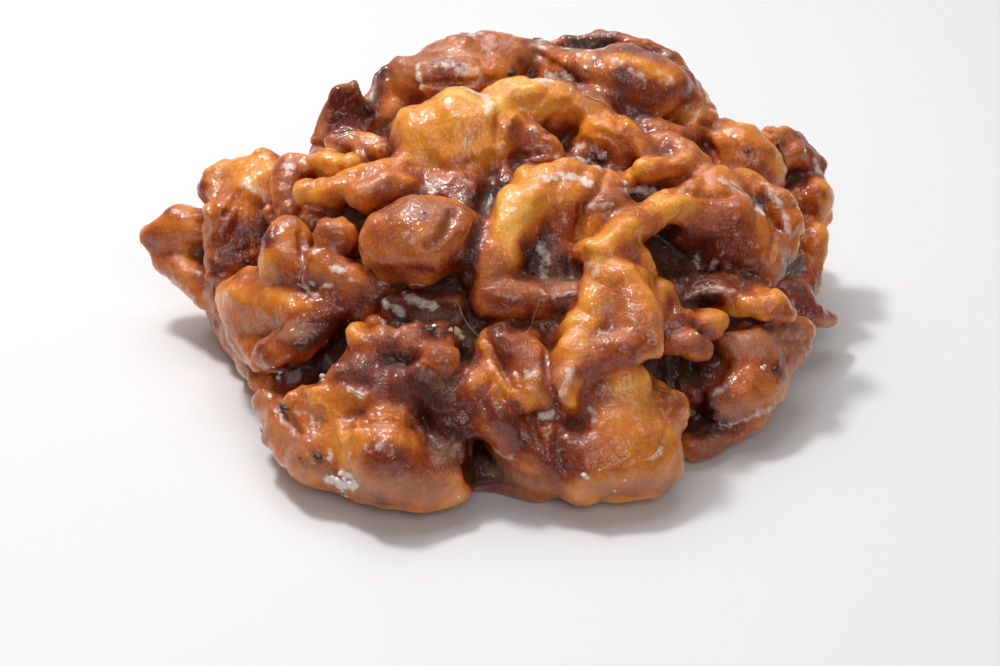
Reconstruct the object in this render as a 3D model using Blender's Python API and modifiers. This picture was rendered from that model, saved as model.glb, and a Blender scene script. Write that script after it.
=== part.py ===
"""Blueberry fritter: one craggy piece of fried, glazed dough that rests on its flat underside.

Every lump of dough is a bar with a round section. A row gives the points of its spine in
millimetres, each as x, y, z and radius. Bars, their roots and a core are fused into one skin.
"""
import math
import random

import bmesh
import bpy
from mathutils import Matrix, Vector, noise

# Driving dimensions, in millimetres
CORE_CENTRE = Vector((3, -6, 0))
CORE_HALF = Vector((62, 56, 50))          # half width, half depth and height of the core
ROOT_TARGET = Vector((2, -6, 14))         # roots run from each lump towards this place
ROOT_STEPS = 4
ROOT_EVERY = 2                            # one bead in so many has a root
CORE_DEEP = 0.8                           # share of the core inside which a root ends
ROOT_STRIDE = 0.85                        # length of a root's step, as a share of its radius
ROOT_SHRINK = 0.85                        # each step of a root is a little thinner
BEAD_SPACING = 0.35                       # beads along a spine, as a share of their radius
BEAD_DETAIL = 3                           # subdivisions of the ball that a bead is made from
BACK_SEED = 5
BACK_LUMPS = 44
BACK_FROM, BACK_TO = 0, 148               # degrees round the fritter, from its right end by the back
BACK_RISE = (10, 60)                      # degrees up from the table
BACK_HALF = Vector((70, 68, 52))          # the small lumps lie on this half ellipsoid
BACK_RADII = (3.5, 6.5)
BACK_REACH = (0.3, 1.8)                   # half length of a small lump, as a share of its radius
BACK_TAPER = (0.6, 1.0)                   # radius of its far end, as a share of its radius
WOBBLE = ((16.0, 0.9), (7.0, 0.8))        # size and depth of the dough's unevenness
WOBBLE_SEED = 15                          # without one, noise would differ each time
VOXEL = 1.5                               # mesh size of the fused skin
RELIEF = ((9.0, 1.4), (4.5, 0.7))         # size and depth of the crust's relief
SMOOTH_ROUNDS = 2
SMOOTH_SHARE = 0.5                        # how far a round moves a corner to its neighbours' middle
RELIEF_LAYERS = 1
RELIEF_MIDDLE = 0.5                       # height of the relief that moves nothing
SHARE_KEPT = 0.125                        # faces kept when the fused skin is thinned out
BASE_SLAB = 70.0                          # depth of the block that cuts the underside flat
BASE_WIDTH = 300.0
MM = 0.001

# Colour of the fried crust
CRUST_COLOUR = (0.36, 0.125, 0.035, 1.0)
CRUST_ROUGHNESS = 0.32

CROWN = {
    "crown": [(-20, 23, 49, 4.6), (-19, 23, 54.4, 4.4), (-15.5, 22, 52.6, 6.3), (-5, 25, 56.4, 6.5),
              (4, 26, 57.2, 5.7), (11, 28, 55, 4)],
    "crown front": [(-11, 18, 55, 5.5), (1, 19, 55, 5)],
    "golden dome": [(-14, -4, 51, 8.5), (-7, -3, 52, 10), (0, -3, 52, 9)],
    "golden dome foot": [(-13, -8, 49, 6), (-7, -9, 49, 6.5), (0, -9, 50, 6)],
    "below the dome": [(-17, -15, 46, 3.5), (-10, -17, 46, 4), (-3, -19, 46, 3.5)],
    "nub beside the dome": [(-20, 0, 51, 3)],
    "golden ridge": [(1, 4, 56, 4.5), (11, 3, 57, 5.5), (19, 5, 56, 5), (26, 5, 53, 4.5)],
    "below the ridge": [(8, -6, 51, 4.5), (13, -7, 51, 4)],
    "back bar": [(11, 28, 56, 3.5), (21, 19, 57, 5.5), (30, 14, 57, 7.5), (37, 14, 55, 7)],
    "back bar rim": [(29, 20, 60, 2.5), (36, 18, 59, 3.5), (43, 15, 56, 3.5)],
    "back lip": [(13, 35, 54, 2.4), (18, 38, 54.2, 2.3), (27, 38, 55.8, 2.4), (36, 35, 54.4, 2.1),
                 (43.6, 32, 53.6, 2.5), (48.6, 28, 48.2, 2.5)],
    "shoulder": [(43.4, 19, 51.5, 6), (48, 17, 47.3, 5.2), (47, 9, 46, 4.5)],
    "orange lumps": [(25, -2, 51, 4.7), (30, -2, 51, 4.7)],
    "brown lumps": [(34, -5, 49, 4.5), (41, -3, 48, 4.5), (47, -8, 47, 3)],
    "small lumps": [(37, 4, 50, 3.5), (45, 3, 48, 3)],
    "orange ridge": [(34, -13, 48, 2.8), (41, -11, 48, 3), (47, -9, 46, 2.8)],
}

RIGHT = {
    "knob": [(57, 8, 41.3, 7.8), (61, 6, 39, 7.5)],
    "knob foot": [(66, 5, 36, 3.5)],
    "behind the knob": [(71, 18, 36.8, 4.7), (76.8, 20, 31.7, 3.7)],
    "top behind the knob": [(66, 15, 41.7, 3), (74, 24, 36.3, 1.8)],
    "cleft floor": [(70, 18, 29, 5), (76, 18, 28, 4)],
    "upper column": [(76.9, 12, 28.3, 4.2), (77.8, 10, 23, 3.6)],
    "lower column": [(75.5, 2, 22, 4.1), (74.6, -3, 17, 3.5), (75.2, -2, 11, 2.5)],
    "swirl": [(47, -14, 45, 3), (56, -10, 43, 3.6), (64, -12, 40, 4), (67, -15, 35, 4),
              (66, -19, 31, 3.3), (62, -25, 29, 2.7)],
    "swirl heart": [(47, -20, 40, 5.5), (54, -20, 38, 7), (60, -23, 33, 6)],
    "swirl foot": [(42, -30, 29, 2.6), (51, -29, 29, 3), (59, -29, 27, 3)],
    "fin": [(68, -14, 15, 4.5), (74.5, -15.5, 11, 2.9), (78.6, -12.8, 8.4, 2.3)],
    "below the column": [(72, -6, 15, 5), (69, -15, 13, 5)],
}

MIDDLE = {
    "band": [(54, -14, 42, 3), (45, -19, 44, 4.4), (37, -25, 45, 4.3), (29, -34, 45, 3.8),
             (25, -39, 43, 4.2)],
    "tongue left": [(25, -40, 41, 4.2), (24, -47, 36, 5), (20, -56, 30, 5), (17, -64, 26, 3.3),
                    (17, -67, 24, 2)],
    "tongue right": [(30, -44, 37, 5.7), (32, -52, 34, 5.6), (34, -57, 31, 3.6)],
    "tongue foot": [(28, -59, 31, 4.2), (22, -60, 28, 3)],
    "tongue root": [(33, -35, 38, 4.3), (29, -36, 40, 4.3)],
    "chunk top": [(9, -23, 51, 4.3), (17, -21, 51, 4), (24, -21, 50, 2.6)],
    "chunk face": [(8, -29, 48, 6), (4, -34, 44, 6.8), (2, -39, 40, 6.3), (1, -42, 36, 5)],
    "chunk body": [(10, -26, 46, 7), (17, -25, 46, 7.5), (25, -24, 45, 7)],
    "chunk lip": [(1, -45, 35, 4.4), (7, -46, 35, 4), (12, -45, 35, 3.5), (17, -45, 35, 3.2)],
    "chunk right": [(13, -24, 47, 4.3), (16, -29, 45, 4.3)],
    "chunk bridge": [(25, -23, 45, 3.5), (19, -19, 48, 3.5)],
    "hollow floor": [(13, -30, 35, 4.3)],
    "potato": [(-20, -37, 44, 7.6), (-14, -38, 45, 9.4), (-8, -36, 45, 8.2)],
    "potato lobe": [(-5, -23, 45, 2.8), (-5, -31, 42, 3), (-8, -35, 38, 2.6)],
    "potato belly": [(-15, -35, 39, 5.2)],
    "small knob": [(-34, -31, 42, 4.2), (-32, -31, 42, 4.3)],
    "grey knob": [(-28, -23, 47, 3.5), (-22, -21, 48, 4), (-18, -20, 48, 3)],
    "orange bar": [(-39, -17, 45, 4), (-32, -18, 46, 4), (-26, -17, 49, 3.5), (-19, -13, 49, 3.5)],
    "mauve wall": [(-44, -4, 42, 4), (-44, -15, 38, 3.8)],
    "round knob": [(-44, -30, 35, 6), (-43, -26, 38, 5)],
    "shelf": [(-37, -35, 37, 3), (-30, -38, 36, 3.2), (-24, -39, 33, 3)],
    "shelf body": [(-40, -32, 33, 5), (-32, -35, 33, 5), (-24, -37, 32, 4.5)],
    "low shelf": [(-34, -40, 31, 3), (-27, -40, 30, 2.6)],
    "valley floor": [(-18, -39, 30, 4), (-10, -39, 29, 4.3), (-4, -43, 28, 3.2)],
    "valley ledge": [(-20, -45, 33, 3), (-14, -46, 33, 3), (-8, -48, 33, 3.2)],
    "row behind": [(-43, -4, 43.5, 3.4), (-36, -6, 46, 3.4), (-30, -9, 48, 3)],
    "knob row": [(-27.5, -51.5, 30, 3.2), (-25, -52.5, 29.3, 2.3), (-22.2, -54.2, 30, 3.9),
                 (-19, -53.6, 29.2, 2.3), (-16, -55, 30.2, 3.9)],
    "end knob": [(-15, -54, 30.5, 3), (-12.4, -56, 29, 2), (-9.2, -59.8, 29, 4.3)],
    "scrap over the row": [(-15, -52.5, 32.5, 2.2), (-10.5, -53, 32, 2.3)],
    "below the knob row": [(-26, -53, 25.2, 4.4), (-18, -54.6, 24.6, 4.6), (-10, -56.4, 22.8, 4.2)],
}

LEFT = {
    "flap foot": [(-35, -1, 49, 2.4), (-30, -1, 49.5, 2.9), (-24, -6, 49, 3)],
    "ear": [(-38.7, 9, 44.5, 2.6), (-36.3, 12, 49.2, 2.9), (-33.8, 14, 53.6, 2.6), (-31, 13, 55.3, 2.2)],
    "right of the ear": [(-27, 12, 47, 2), (-26.6, 15, 50.6, 1.6)],
    "dark edge": [(-23.2, 23, 55.6, 1.4), (-25.2, 20, 53.6, 1.5), (-25, 13, 49, 2.2)],
    "arm tip": [(-77, 3, 21, 4.5), (-72, 4, 23.6, 5.4), (-65, 3, 24.9, 5.3)],
    "arm tip foot": [(-75.3, 0.8, 16.3, 3.8), (-69.2, -4.2, 14.3, 4.6), (-62.6, -9.2, 12.6, 5.1)],
    "arm flap": [(-63, 8, 35, 3.5), (-57, 7, 36.8, 3.8), (-51, 7, 38.4, 3.2)],
    "flap tip": [(-50, 8, 39.3, 2.1), (-48.5, 7, 38.5, 2)],
    "flap corner": [(-65, 5.5, 34, 2.3)],
    "low arm flap": [(-60, 2, 32, 5), (-54, 1, 35, 5.5), (-50, 2, 37, 4.5)],
    "arm cone": [(-60, -4, 31.5, 5.2), (-60.5, -9, 27, 4.8), (-62, -13, 22.5, 2.8)],
    "arm edge": [(-49, -7, 34, 1.8), (-48, -11, 32, 1.6)],
    "arm floor": [(-55, -10, 24, 4), (-59, -12, 21, 4)],
    "low arm": [(-62, -10, 17, 3.4), (-60, -15, 14, 3.4)],
    "side wall": [(-55, -24, 21, 6), (-48, -31, 24, 5.7), (-41, -36, 27, 3.3)],
    "wall body": [(-52, -27, 24, 6.5), (-45, -33, 26, 6), (-38, -39, 27, 4.5)],
    "low side": [(-54.5, -27, 15, 4.9), (-49.5, -34, 15, 5.1)],
    "crease": [(-48, -30, 29, 2.6), (-41, -38, 30, 2), (-35, -43, 30, 1.6)],
    "side foot": [(-60, -11, 8, 2.8), (-55, -22, 7, 3.2), (-50, -34, 6, 2.8)],
    "dark bar": [(-45, -45, 21, 5), (-40, -45, 24, 4.8), (-34, -43, 27, 3), (-31, -41, 29, 1.6)],
    "bar end": [(-49, -39, 15, 2.8)],
}

FRONT = {
    "low shoulder": [(-46.3, -51, 12, 3.8), (-42.2, -59.7, 11, 5.4), (-35.9, -66.3, 9, 6.4)],
    "left body": [(-38, -60, 10, 7), (-29, -65, 10, 8), (-20, -67, 10, 8)],
    "left top": [(-39, -58, 17, 4.2), (-30, -61, 18, 4.8)],
    "round dome": [(-21, -71, 13, 9)],
    "left foot": [(-34.3, -66, 6.3, 5), (-26, -71, 6.9, 5.3), (-14, -73.7, 7.2, 6.2),
                  (-8, -72, 6.6, 5.3)],
    "mauve corner": [(-9, -69, 12, 5), (-5, -69, 11, 3)],
    "golden slope": [(-35, -60, 20, 3.2), (-26, -62, 21, 3.6), (-18, -64, 21, 3)],
    "red band": [(-31, -57, 24, 3.4), (-24, -58, 25, 3.8), (-18, -62, 24, 3.3)],
    "dark side": [(-13, -62, 25, 4.2), (-9, -64, 22, 4.8), (-6, -66, 17, 4.8)],
    "front dome": [(28, -64, 12, 10.5), (33, -63, 11, 9)],
    "front dome low": [(21, -69, 9.5, 8.5), (32, -70, 8.5, 6.2), (36.6, -66.6, 8, 5.2)],
    "front dome left": [(13, -67, 11, 8), (5, -66, 13, 5.7)],
    "front dome foot": [(19, -71.5, 7, 5), (30, -70.3, 6, 4.4), (37, -66.8, 5.5, 3.9)],
    "front dome right": [(38, -59, 16, 5), (41, -62, 10, 3)],
    "front dome top": [(29, -59, 21, 6)],
    "below the tongue": [(16, -61, 20, 6), (24, -59, 21, 6)],
    "streak": [(0, -57, 26, 2.4), (3, -62, 24, 2.5), (8, -65, 22, 2.6)],
    "red column": [(3, -54, 29, 4.5), (8, -57, 27, 5), (10, -62, 24, 5)],
    "red side": [(-2, -62, 24, 4.5), (1, -67, 19, 5)],
    "notch back": [(-6, -64.8, 4, 4.4), (3, -64.8, 4, 4.9), (11, -68.4, 4.6, 5.3)],
    "arch": [(43, -33, 27, 1.6), (47, -31, 28, 1.6), (53, -32, 28, 1.6), (56, -32, 26, 1.6)],
    "honey knob": [(48, -40, 25, 4.2)],
    "small right knob": [(56, -34, 26, 2.6), (62, -34, 26, 4), (66, -33, 24, 2.6)],
    "beside the tongue": [(38, -38, 31, 3.6), (37, -42, 29, 3.4), (42, -41, 27, 3)],
    "short bar": [(39, -48, 25, 3), (43, -48, 25, 3.4), (47, -47, 23, 2.6)],
    "right top": [(54, -39, 18, 4.6), (60, -37, 15, 7), (68.3, -29.4, 14.6, 4.6)],
    "right body": [(56, -44, 12, 7), (57.5, -46.5, 8, 5.4), (61, -40.5, 11, 5.8)],
    "right front foot": [(51, -49, 10, 3.7), (49, -49, 12, 3.2)],
    "right underside": [(45, -56, 3, 3.1), (53, -50.5, 3.8, 3.2)],
}

SIDES_AND_BACK = {
    "upper left": [(-18, 30, 44, 9), (-8, 38, 42, 10)],
    "upper middle": [(6, 36, 46, 9), (9, 45, 37, 9.5)],
    "upper back": [(20, 39, 44, 8), (34, 34, 42, 9)],
    "upper right": [(42, 28, 36, 9), (52, 29, 28, 8.5)],
    "middle left": [(-38, 20, 27, 8.5), (-33, 35, 23, 10)],
    "middle": [(-14, 46, 30, 10), (-20, 48, 20, 10)],
    "middle back": [(3, 54, 25, 10), (17, 52, 28, 9)],
    "middle right": [(30, 47, 30, 9), (36, 49, 19, 11)],
    "right end": [(56, 33, 22, 9), (68, 23, 16, 9)],
    "low left": [(-54, 12, 9, 10), (-44, 28, 9, 11)],
    "low middle left": [(-30, 43, 9, 11), (-12, 54, 8, 11)],
    "low middle right": [(8, 56, 9, 11), (28, 53, 8, 11)],
    "low right": [(45, 44, 8, 11), (59, 35, 9, 11)],
    "right flank": [(60, -24, 6, 7), (64, -9, 6, 8), (63, 6, 18, 8)],
    "right foot": [(66, 8, 6, 8), (68, 20, 7, 8)],
    "left flank": [(-54, -16, 6, 7), (-58, -3, 7, 8), (-53, 6, 20, 8)],
}

REGIONS = (CROWN, RIGHT, MIDDLE, LEFT, FRONT, SIDES_AND_BACK)

HOLLOWS = {
    "over the valley": [(-22, -48, 35, 2.4), (-13, -50, 35, 2.8), (-5, -51, 35, 3)],
    "under the swirl": [(38, -34, 40, 4), (46, -31, 39, 5.5), (53, -31, 36, 5)],
    "beside the chunk": [(12, -40, 45, 4.5), (14, -44, 42, 4)],
    "gap by the tongue": [(44, -39, 32, 2.8), (50, -39, 31, 2.8)],
    "under the small knob": [(62, -40, 22, 1.8), (68, -37, 20, 2)],
    "arm hollow": [(-52, -13, 33, 4)],
    "right of the front": [(45, -63, 12, 4), (44, -62, 4, 4)],
    "between the domes": [(-1, -73, 9, 4), (-2, -70, 14, 2.5)],
    "under the golden dome": [(2, -15, 51, 2.5), (-1, -26, 47, 2.5)],
    "between potato and chunk": [(0, -27, 51, 2), (0, -36, 50, 2.2), (-3, -45, 46, 2.2),
                                 (-4, -50, 41, 2.5)],
    "left crevice": [(-48, -46, 15, 2.5), (-37, -54, 22, 2.5)],
    "right crevice": [(49, -3, 47, 2.5)],
    "behind the column": [(70, -8, 26, 4), (70, -18, 22, 4)],
}


def clear_scene():
    for thing in list(bpy.data.objects):
        bpy.data.objects.remove(thing)


def new_collection(name):
    collection = bpy.data.collections.new(name)
    bpy.context.scene.collection.children.link(collection)
    return collection


def crust_material():
    material = bpy.data.materials.new("fried_crust")
    material.use_nodes = True
    shader = material.node_tree.nodes["Principled BSDF"]
    shader.inputs["Base Color"].default_value = CRUST_COLOUR
    shader.inputs["Roughness"].default_value = CRUST_ROUGHNESS
    shader.inputs["Metallic"].default_value = 0.0
    return material


def in_core(place):
    """True where a place lies well inside the core."""
    offset = place - CORE_CENTRE
    share = sum((offset[i] / CORE_HALF[i]) ** 2 for i in range(3))
    return share < CORE_DEEP


def beads_along(points):
    """Places and radii of overlapping beads along a lump's spine."""
    beads = []
    for (ax, ay, az, ar), (bx, by, bz, br) in zip(points, points[1:]):
        start, end = Vector((ax, ay, az)), Vector((bx, by, bz))
        count = max(1, round((end - start).length / (BEAD_SPACING * (ar + br) / 2)))
        for i in range(count):
            share = i / count
            beads.append((start.lerp(end, share), ar + (br - ar) * share))
    last = points[-1]
    beads.append((Vector(last[:3]), last[3]))
    return beads


def roots_of(place, radius):
    """Beads that tie a lump down to the core, so that no lump hangs loose."""
    roots = []
    for _ in range(ROOT_STEPS):
        if in_core(place):
            break
        place = place + (ROOT_TARGET - place).normalized() * radius * ROOT_STRIDE
        radius = radius * ROOT_SHRINK
        roots.append((place, radius))
    return roots


def ball(subdivisions):
    """Corners and faces of a ball of radius 1."""
    bm = bmesh.new()
    bmesh.ops.create_icosphere(bm, subdivisions=subdivisions, radius=1.0)
    corners = [vert.co.copy() for vert in bm.verts]
    faces = [[vert.index for vert in face.verts] for face in bm.faces]
    bm.free()
    return corners, faces


def wobbled(place):
    """A place pushed about a little, so that no lump is a true ball."""
    push = Vector()
    for size, depth in WOBBLE:
        push += noise.noise_vector(place / size) * depth
    return place + push


def bead_object(name, beads, collection):
    """One mesh of overlapping balls; a ball's radius may differ along X, Y and Z."""
    corners, faces = ball(BEAD_DETAIL)
    places, loops = [], []
    for centre, radius in beads:
        first = len(places)
        places.extend(wobbled(centre + corner * radius) * MM for corner in corners)
        loops.extend([first + i for i in face] for face in faces)
    mesh = bpy.data.meshes.new(name)
    mesh.from_pydata(places, [], loops)
    thing = bpy.data.objects.new(name, mesh)
    collection.objects.link(thing)
    return thing


def dough_beads():
    """Beads of all lumps, of their roots and of the core."""
    beads = [(CORE_CENTRE, CORE_HALF)]
    rows = [points for region in REGIONS for points in region.values()]
    for points in rows + small_back_lumps():
        spine = beads_along(points)
        beads.extend(spine)
        for place, radius in spine[::ROOT_EVERY]:
            beads.extend(roots_of(place, radius))
    return beads


def small_back_lumps():
    """Small lumps in random places over the back, where they lie as thick as at the front."""
    draw = random.Random(BACK_SEED)
    rows = []
    for i in range(BACK_LUMPS):
        around = math.radians(BACK_FROM + (BACK_TO - BACK_FROM) * (i + draw.random()) / BACK_LUMPS)
        up = math.radians(draw.uniform(*BACK_RISE))
        level = math.cos(up)
        outward = Vector((math.cos(around) * level, math.sin(around) * level, math.sin(up)))
        place = CORE_CENTRE + outward * BACK_HALF
        along = outward.cross(Vector([draw.uniform(-1, 1) for _ in range(3)])).normalized()
        radius = draw.uniform(*BACK_RADII)
        reach = along * radius * draw.uniform(*BACK_REACH)
        rows.append([(*(place - reach), radius), (*(place + reach), radius * draw.uniform(*BACK_TAPER))])
    return rows


def hollow_beads():
    beads = []
    for points in HOLLOWS.values():
        beads.extend(beads_along(points))
    return beads


def add_fuse(thing, name):
    remesh = thing.modifiers.new(name, "REMESH")
    remesh.mode = "VOXEL"
    remesh.voxel_size = VOXEL * MM


def hide_guide(guide):
    guide.hide_render = True
    guide.display_type = "WIRE"


def add_cut(fritter, cutter, name):
    cut = fritter.modifiers.new(name, "BOOLEAN")
    cut.operation = "DIFFERENCE"
    cut.solver = "EXACT"
    cut.object = cutter


def fuse(fritter, guides):
    """One skin round all the beads, with the hollows taken out and its seams softened."""
    add_fuse(fritter, "Fuse")
    hollows = bead_object("hollows", hollow_beads(), guides)
    add_fuse(hollows, "Fuse")
    hide_guide(hollows)
    add_cut(fritter, hollows, "Hollows")
    add_fuse(fritter, "Even out")
    smooth = fritter.modifiers.new("Soften", "SMOOTH")
    smooth.factor = SMOOTH_SHARE
    smooth.iterations = SMOOTH_ROUNDS


def raise_relief(fritter):
    """Bubbles and dents of the fried crust."""
    for i, (size, depth) in enumerate(RELIEF):
        texture = bpy.data.textures.new(f"crust_relief_{i}", "CLOUDS")
        texture.noise_scale = size * MM
        texture.noise_depth = RELIEF_LAYERS
        displace = fritter.modifiers.new(f"Relief {i}", "DISPLACE")
        displace.texture = texture
        displace.texture_coords = "LOCAL"
        displace.strength = depth * MM
        displace.mid_level = RELIEF_MIDDLE


def thin_out(fritter):
    """Keeps the number of faces small, with the form unchanged."""
    decimate = fritter.modifiers.new("Thin out", "DECIMATE")
    decimate.ratio = SHARE_KEPT
    decimate.use_collapse_triangulate = True


def cut_flat(fritter, guides):
    """Cuts the underside flat at z = 0, where the fritter rests."""
    bm = bmesh.new()
    size = Matrix.Diagonal((BASE_WIDTH * MM, BASE_WIDTH * MM, BASE_SLAB * MM, 1))
    where = Matrix.Translation((0, 0, -BASE_SLAB * MM / 2))
    bmesh.ops.create_cube(bm, size=1.0, matrix=where @ size)
    mesh = bpy.data.meshes.new("base_slab")
    bm.to_mesh(mesh)
    bm.free()
    slab = bpy.data.objects.new("base_slab", mesh)
    guides.objects.link(slab)
    hide_guide(slab)
    add_cut(fritter, slab, "Flat base")


def main():
    clear_scene()
    noise.seed_set(WOBBLE_SEED)
    parts = new_collection("blueberry_fritter")
    guides = new_collection("cutters")
    fritter = bead_object("fritter", dough_beads(), parts)
    fritter.data.materials.append(crust_material())
    fuse(fritter, guides)
    raise_relief(fritter)
    thin_out(fritter)
    cut_flat(fritter, guides)


main()
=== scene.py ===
# %% [markdown]
# # A glazed blueberry fritter
# A fritter is one ragged handful of sweet dough, folded with berries, dropped into hot fat and dipped
# in thin sugar glaze while it is warm. Three things make it look like food and not like clay: the
# lumps meet in sharp creases, the crust runs from pale gold to nearly black, and the wet glaze over
# it mirrors the light in a thousand small bumps. This lesson makes them in that order.
#
# The imported solid is the fixed frame. Our fine crust will stand for it, so we first bring it in, with its
# placing baked into its corners.

import math
import random

import bmesh
import bpy
import numpy as np
from mathutils import Matrix, Vector, noise
from mathutils.bvhtree import BVHTree


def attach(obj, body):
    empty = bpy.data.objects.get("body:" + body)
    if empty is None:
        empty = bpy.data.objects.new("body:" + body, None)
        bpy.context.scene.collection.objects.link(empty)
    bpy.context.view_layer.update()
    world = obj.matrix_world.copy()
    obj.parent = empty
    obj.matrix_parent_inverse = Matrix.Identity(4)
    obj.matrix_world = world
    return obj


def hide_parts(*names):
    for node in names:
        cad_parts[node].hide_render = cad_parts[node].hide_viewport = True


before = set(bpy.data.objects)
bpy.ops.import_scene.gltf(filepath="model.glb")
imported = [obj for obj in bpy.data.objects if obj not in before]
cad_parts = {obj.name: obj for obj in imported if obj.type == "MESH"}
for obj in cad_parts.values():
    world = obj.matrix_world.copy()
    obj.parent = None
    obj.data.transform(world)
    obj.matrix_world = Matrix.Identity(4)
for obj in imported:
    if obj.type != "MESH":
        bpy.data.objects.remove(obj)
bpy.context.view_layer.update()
scene = bpy.context.scene
MM = 0.001

# %% [markdown]
# ## The eye of the photograph
# The camera comes first, because many small marks on the crust are placed by looking through it: a
# streak of glaze is easier to point at than to measure. The picture was taken from about half a metre,
# looking down at 33 degrees, with a short telephoto lens.

# %% Camera
PHOTO_WIDTH, PHOTO_HEIGHT = 1000, 666
FOCAL_PIXELS = 2242
SENSOR_WIDTH = 36.0
LOOKS_AT = Vector((2.9, -4.8, 0.0)) * MM
LOOKS_FROM = 528 * MM
LOOKS_DOWN = math.radians(33)

back_to_camera = Vector((0, -math.cos(LOOKS_DOWN), math.sin(LOOKS_DOWN)))
camera = bpy.data.objects.new("camera", bpy.data.cameras.new("camera"))
scene.collection.objects.link(camera)
camera.location = LOOKS_AT + back_to_camera * LOOKS_FROM
camera.rotation_euler = (-back_to_camera).to_track_quat("-Z", "Y").to_euler()
camera.data.sensor_width = SENSOR_WIDTH
camera.data.lens = SENSOR_WIDTH * FOCAL_PIXELS / PHOTO_WIDTH
camera.data.clip_start = 0.01
scene.camera = camera
eye = camera.location.copy()
eye_turn = camera.rotation_euler.to_matrix()
print("lens", round(camera.data.lens, 1), "mm")


def sight_line(u, v):
    """Direction in which the photograph's pixel (u, v) looks."""
    ahead = Vector((u - PHOTO_WIDTH / 2, PHOTO_HEIGHT / 2 - v, -FOCAL_PIXELS))
    return (eye_turn @ ahead).normalized()


# %% [markdown]
# ## The lumps of dough
# Every lump is a bar with a round section. A row holds how brown it is fried, from 0 for burnt to 1 for
# pale yellow, and the points of its spine in millimetres, each as x, y, z and radius. Bars suit dough
# better than balls: hand-torn dough is made of short thick strands that twist round each other. The
# hollows at the end are rows of balls too, which will be carved out of the dough.

# %% Lumps, by region
CROWN = {
    "crown": (0.47, [(-20, 23, 49, 4.6), (-19, 23, 54.4, 4.4), (-15.5, 22, 52.6, 6.3), (-5, 25, 56.4, 6.5),
                     (4, 26, 57.2, 5.7), (11, 28, 55, 4)]),
    "crown front": (0.50, [(-11, 18, 55, 5.5), (1, 19, 55, 5)]),
    "golden dome": (0.86, [(-14, -4, 51, 8.5), (-7, -3, 52, 10), (0, -3, 52, 9)]),
    "golden dome foot": (0.82, [(-13, -8, 49, 6), (-7, -9, 49, 6.5), (0, -9, 50, 6)]),
    "below the dome": (0.55, [(-17, -15, 46, 3.5), (-10, -17, 46, 4), (-3, -19, 46, 3.5)]),
    "nub beside the dome": (0.50, [(-20, 0, 51, 3)]),
    "golden ridge": (0.70, [(1, 4, 56, 4.5), (11, 3, 57, 5.5), (19, 5, 56, 5), (26, 5, 53, 4.5)]),
    "below the ridge": (0.50, [(8, -6, 51, 4.5), (13, -7, 51, 4)]),
    "back bar": (0.60, [(11, 28, 56, 3.5), (21, 19, 57, 5.5), (30, 14, 57, 7.5), (37, 14, 55, 7)]),
    "back bar rim": (0.68, [(29, 20, 60, 2.5), (36, 18, 59, 3.5), (43, 15, 56, 3.5)]),
    "back lip": (0.28, [(13, 35, 54, 2.4), (18, 38, 54.2, 2.3), (27, 38, 55.8, 2.4), (36, 35, 54.4, 2.1),
                        (43.6, 32, 53.6, 2.5), (48.6, 28, 48.2, 2.5)]),
    "shoulder": (0.45, [(43.4, 19, 51.5, 6), (48, 17, 47.3, 5.2), (47, 9, 46, 4.5)]),
    "orange lumps": (0.64, [(25, -2, 51, 4.7), (30, -2, 51, 4.7)]),
    "brown lumps": (0.45, [(34, -5, 49, 4.5), (41, -3, 48, 4.5), (47, -8, 47, 3)]),
    "small lumps": (0.50, [(37, 4, 50, 3.5), (45, 3, 48, 3)]),
    "orange ridge": (0.62, [(34, -13, 48, 2.8), (41, -11, 48, 3), (47, -9, 46, 2.8)]),
}

RIGHT = {
    "knob": (0.66, [(57, 8, 41.3, 7.8), (61, 6, 39, 7.5)]),
    "knob foot": (0.40, [(66, 5, 36, 3.5)]),
    "behind the knob": (0.50, [(71, 18, 36.8, 4.7), (76.8, 20, 31.7, 3.7)]),
    "top behind the knob": (0.45, [(66, 15, 41.7, 3), (74, 24, 36.3, 1.8)]),
    "cleft floor": (0.30, [(70, 18, 29, 5), (76, 18, 28, 4)]),
    "upper column": (0.58, [(76.9, 12, 28.3, 4.2), (77.8, 10, 23, 3.6)]),
    "lower column": (0.55, [(75.5, 2, 22, 4.1), (74.6, -3, 17, 3.5), (75.2, -2, 11, 2.5)]),
    "swirl": (0.45, [(47, -14, 45, 3), (56, -10, 43, 3.6), (64, -12, 40, 4), (67, -15, 35, 4),
                     (66, -19, 31, 3.3), (62, -25, 29, 2.7)]),
    "swirl heart": (0.40, [(47, -20, 40, 5.5), (54, -20, 38, 7), (60, -23, 33, 6)]),
    "swirl foot": (0.35, [(42, -30, 29, 2.6), (51, -29, 29, 3), (59, -29, 27, 3)]),
    "fin": (0.24, [(68, -14, 15, 4.5), (74.5, -15.5, 11, 2.9), (78.6, -12.8, 8.4, 2.3)]),
    "below the column": (0.30, [(72, -6, 15, 5), (69, -15, 13, 5)]),
}

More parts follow.
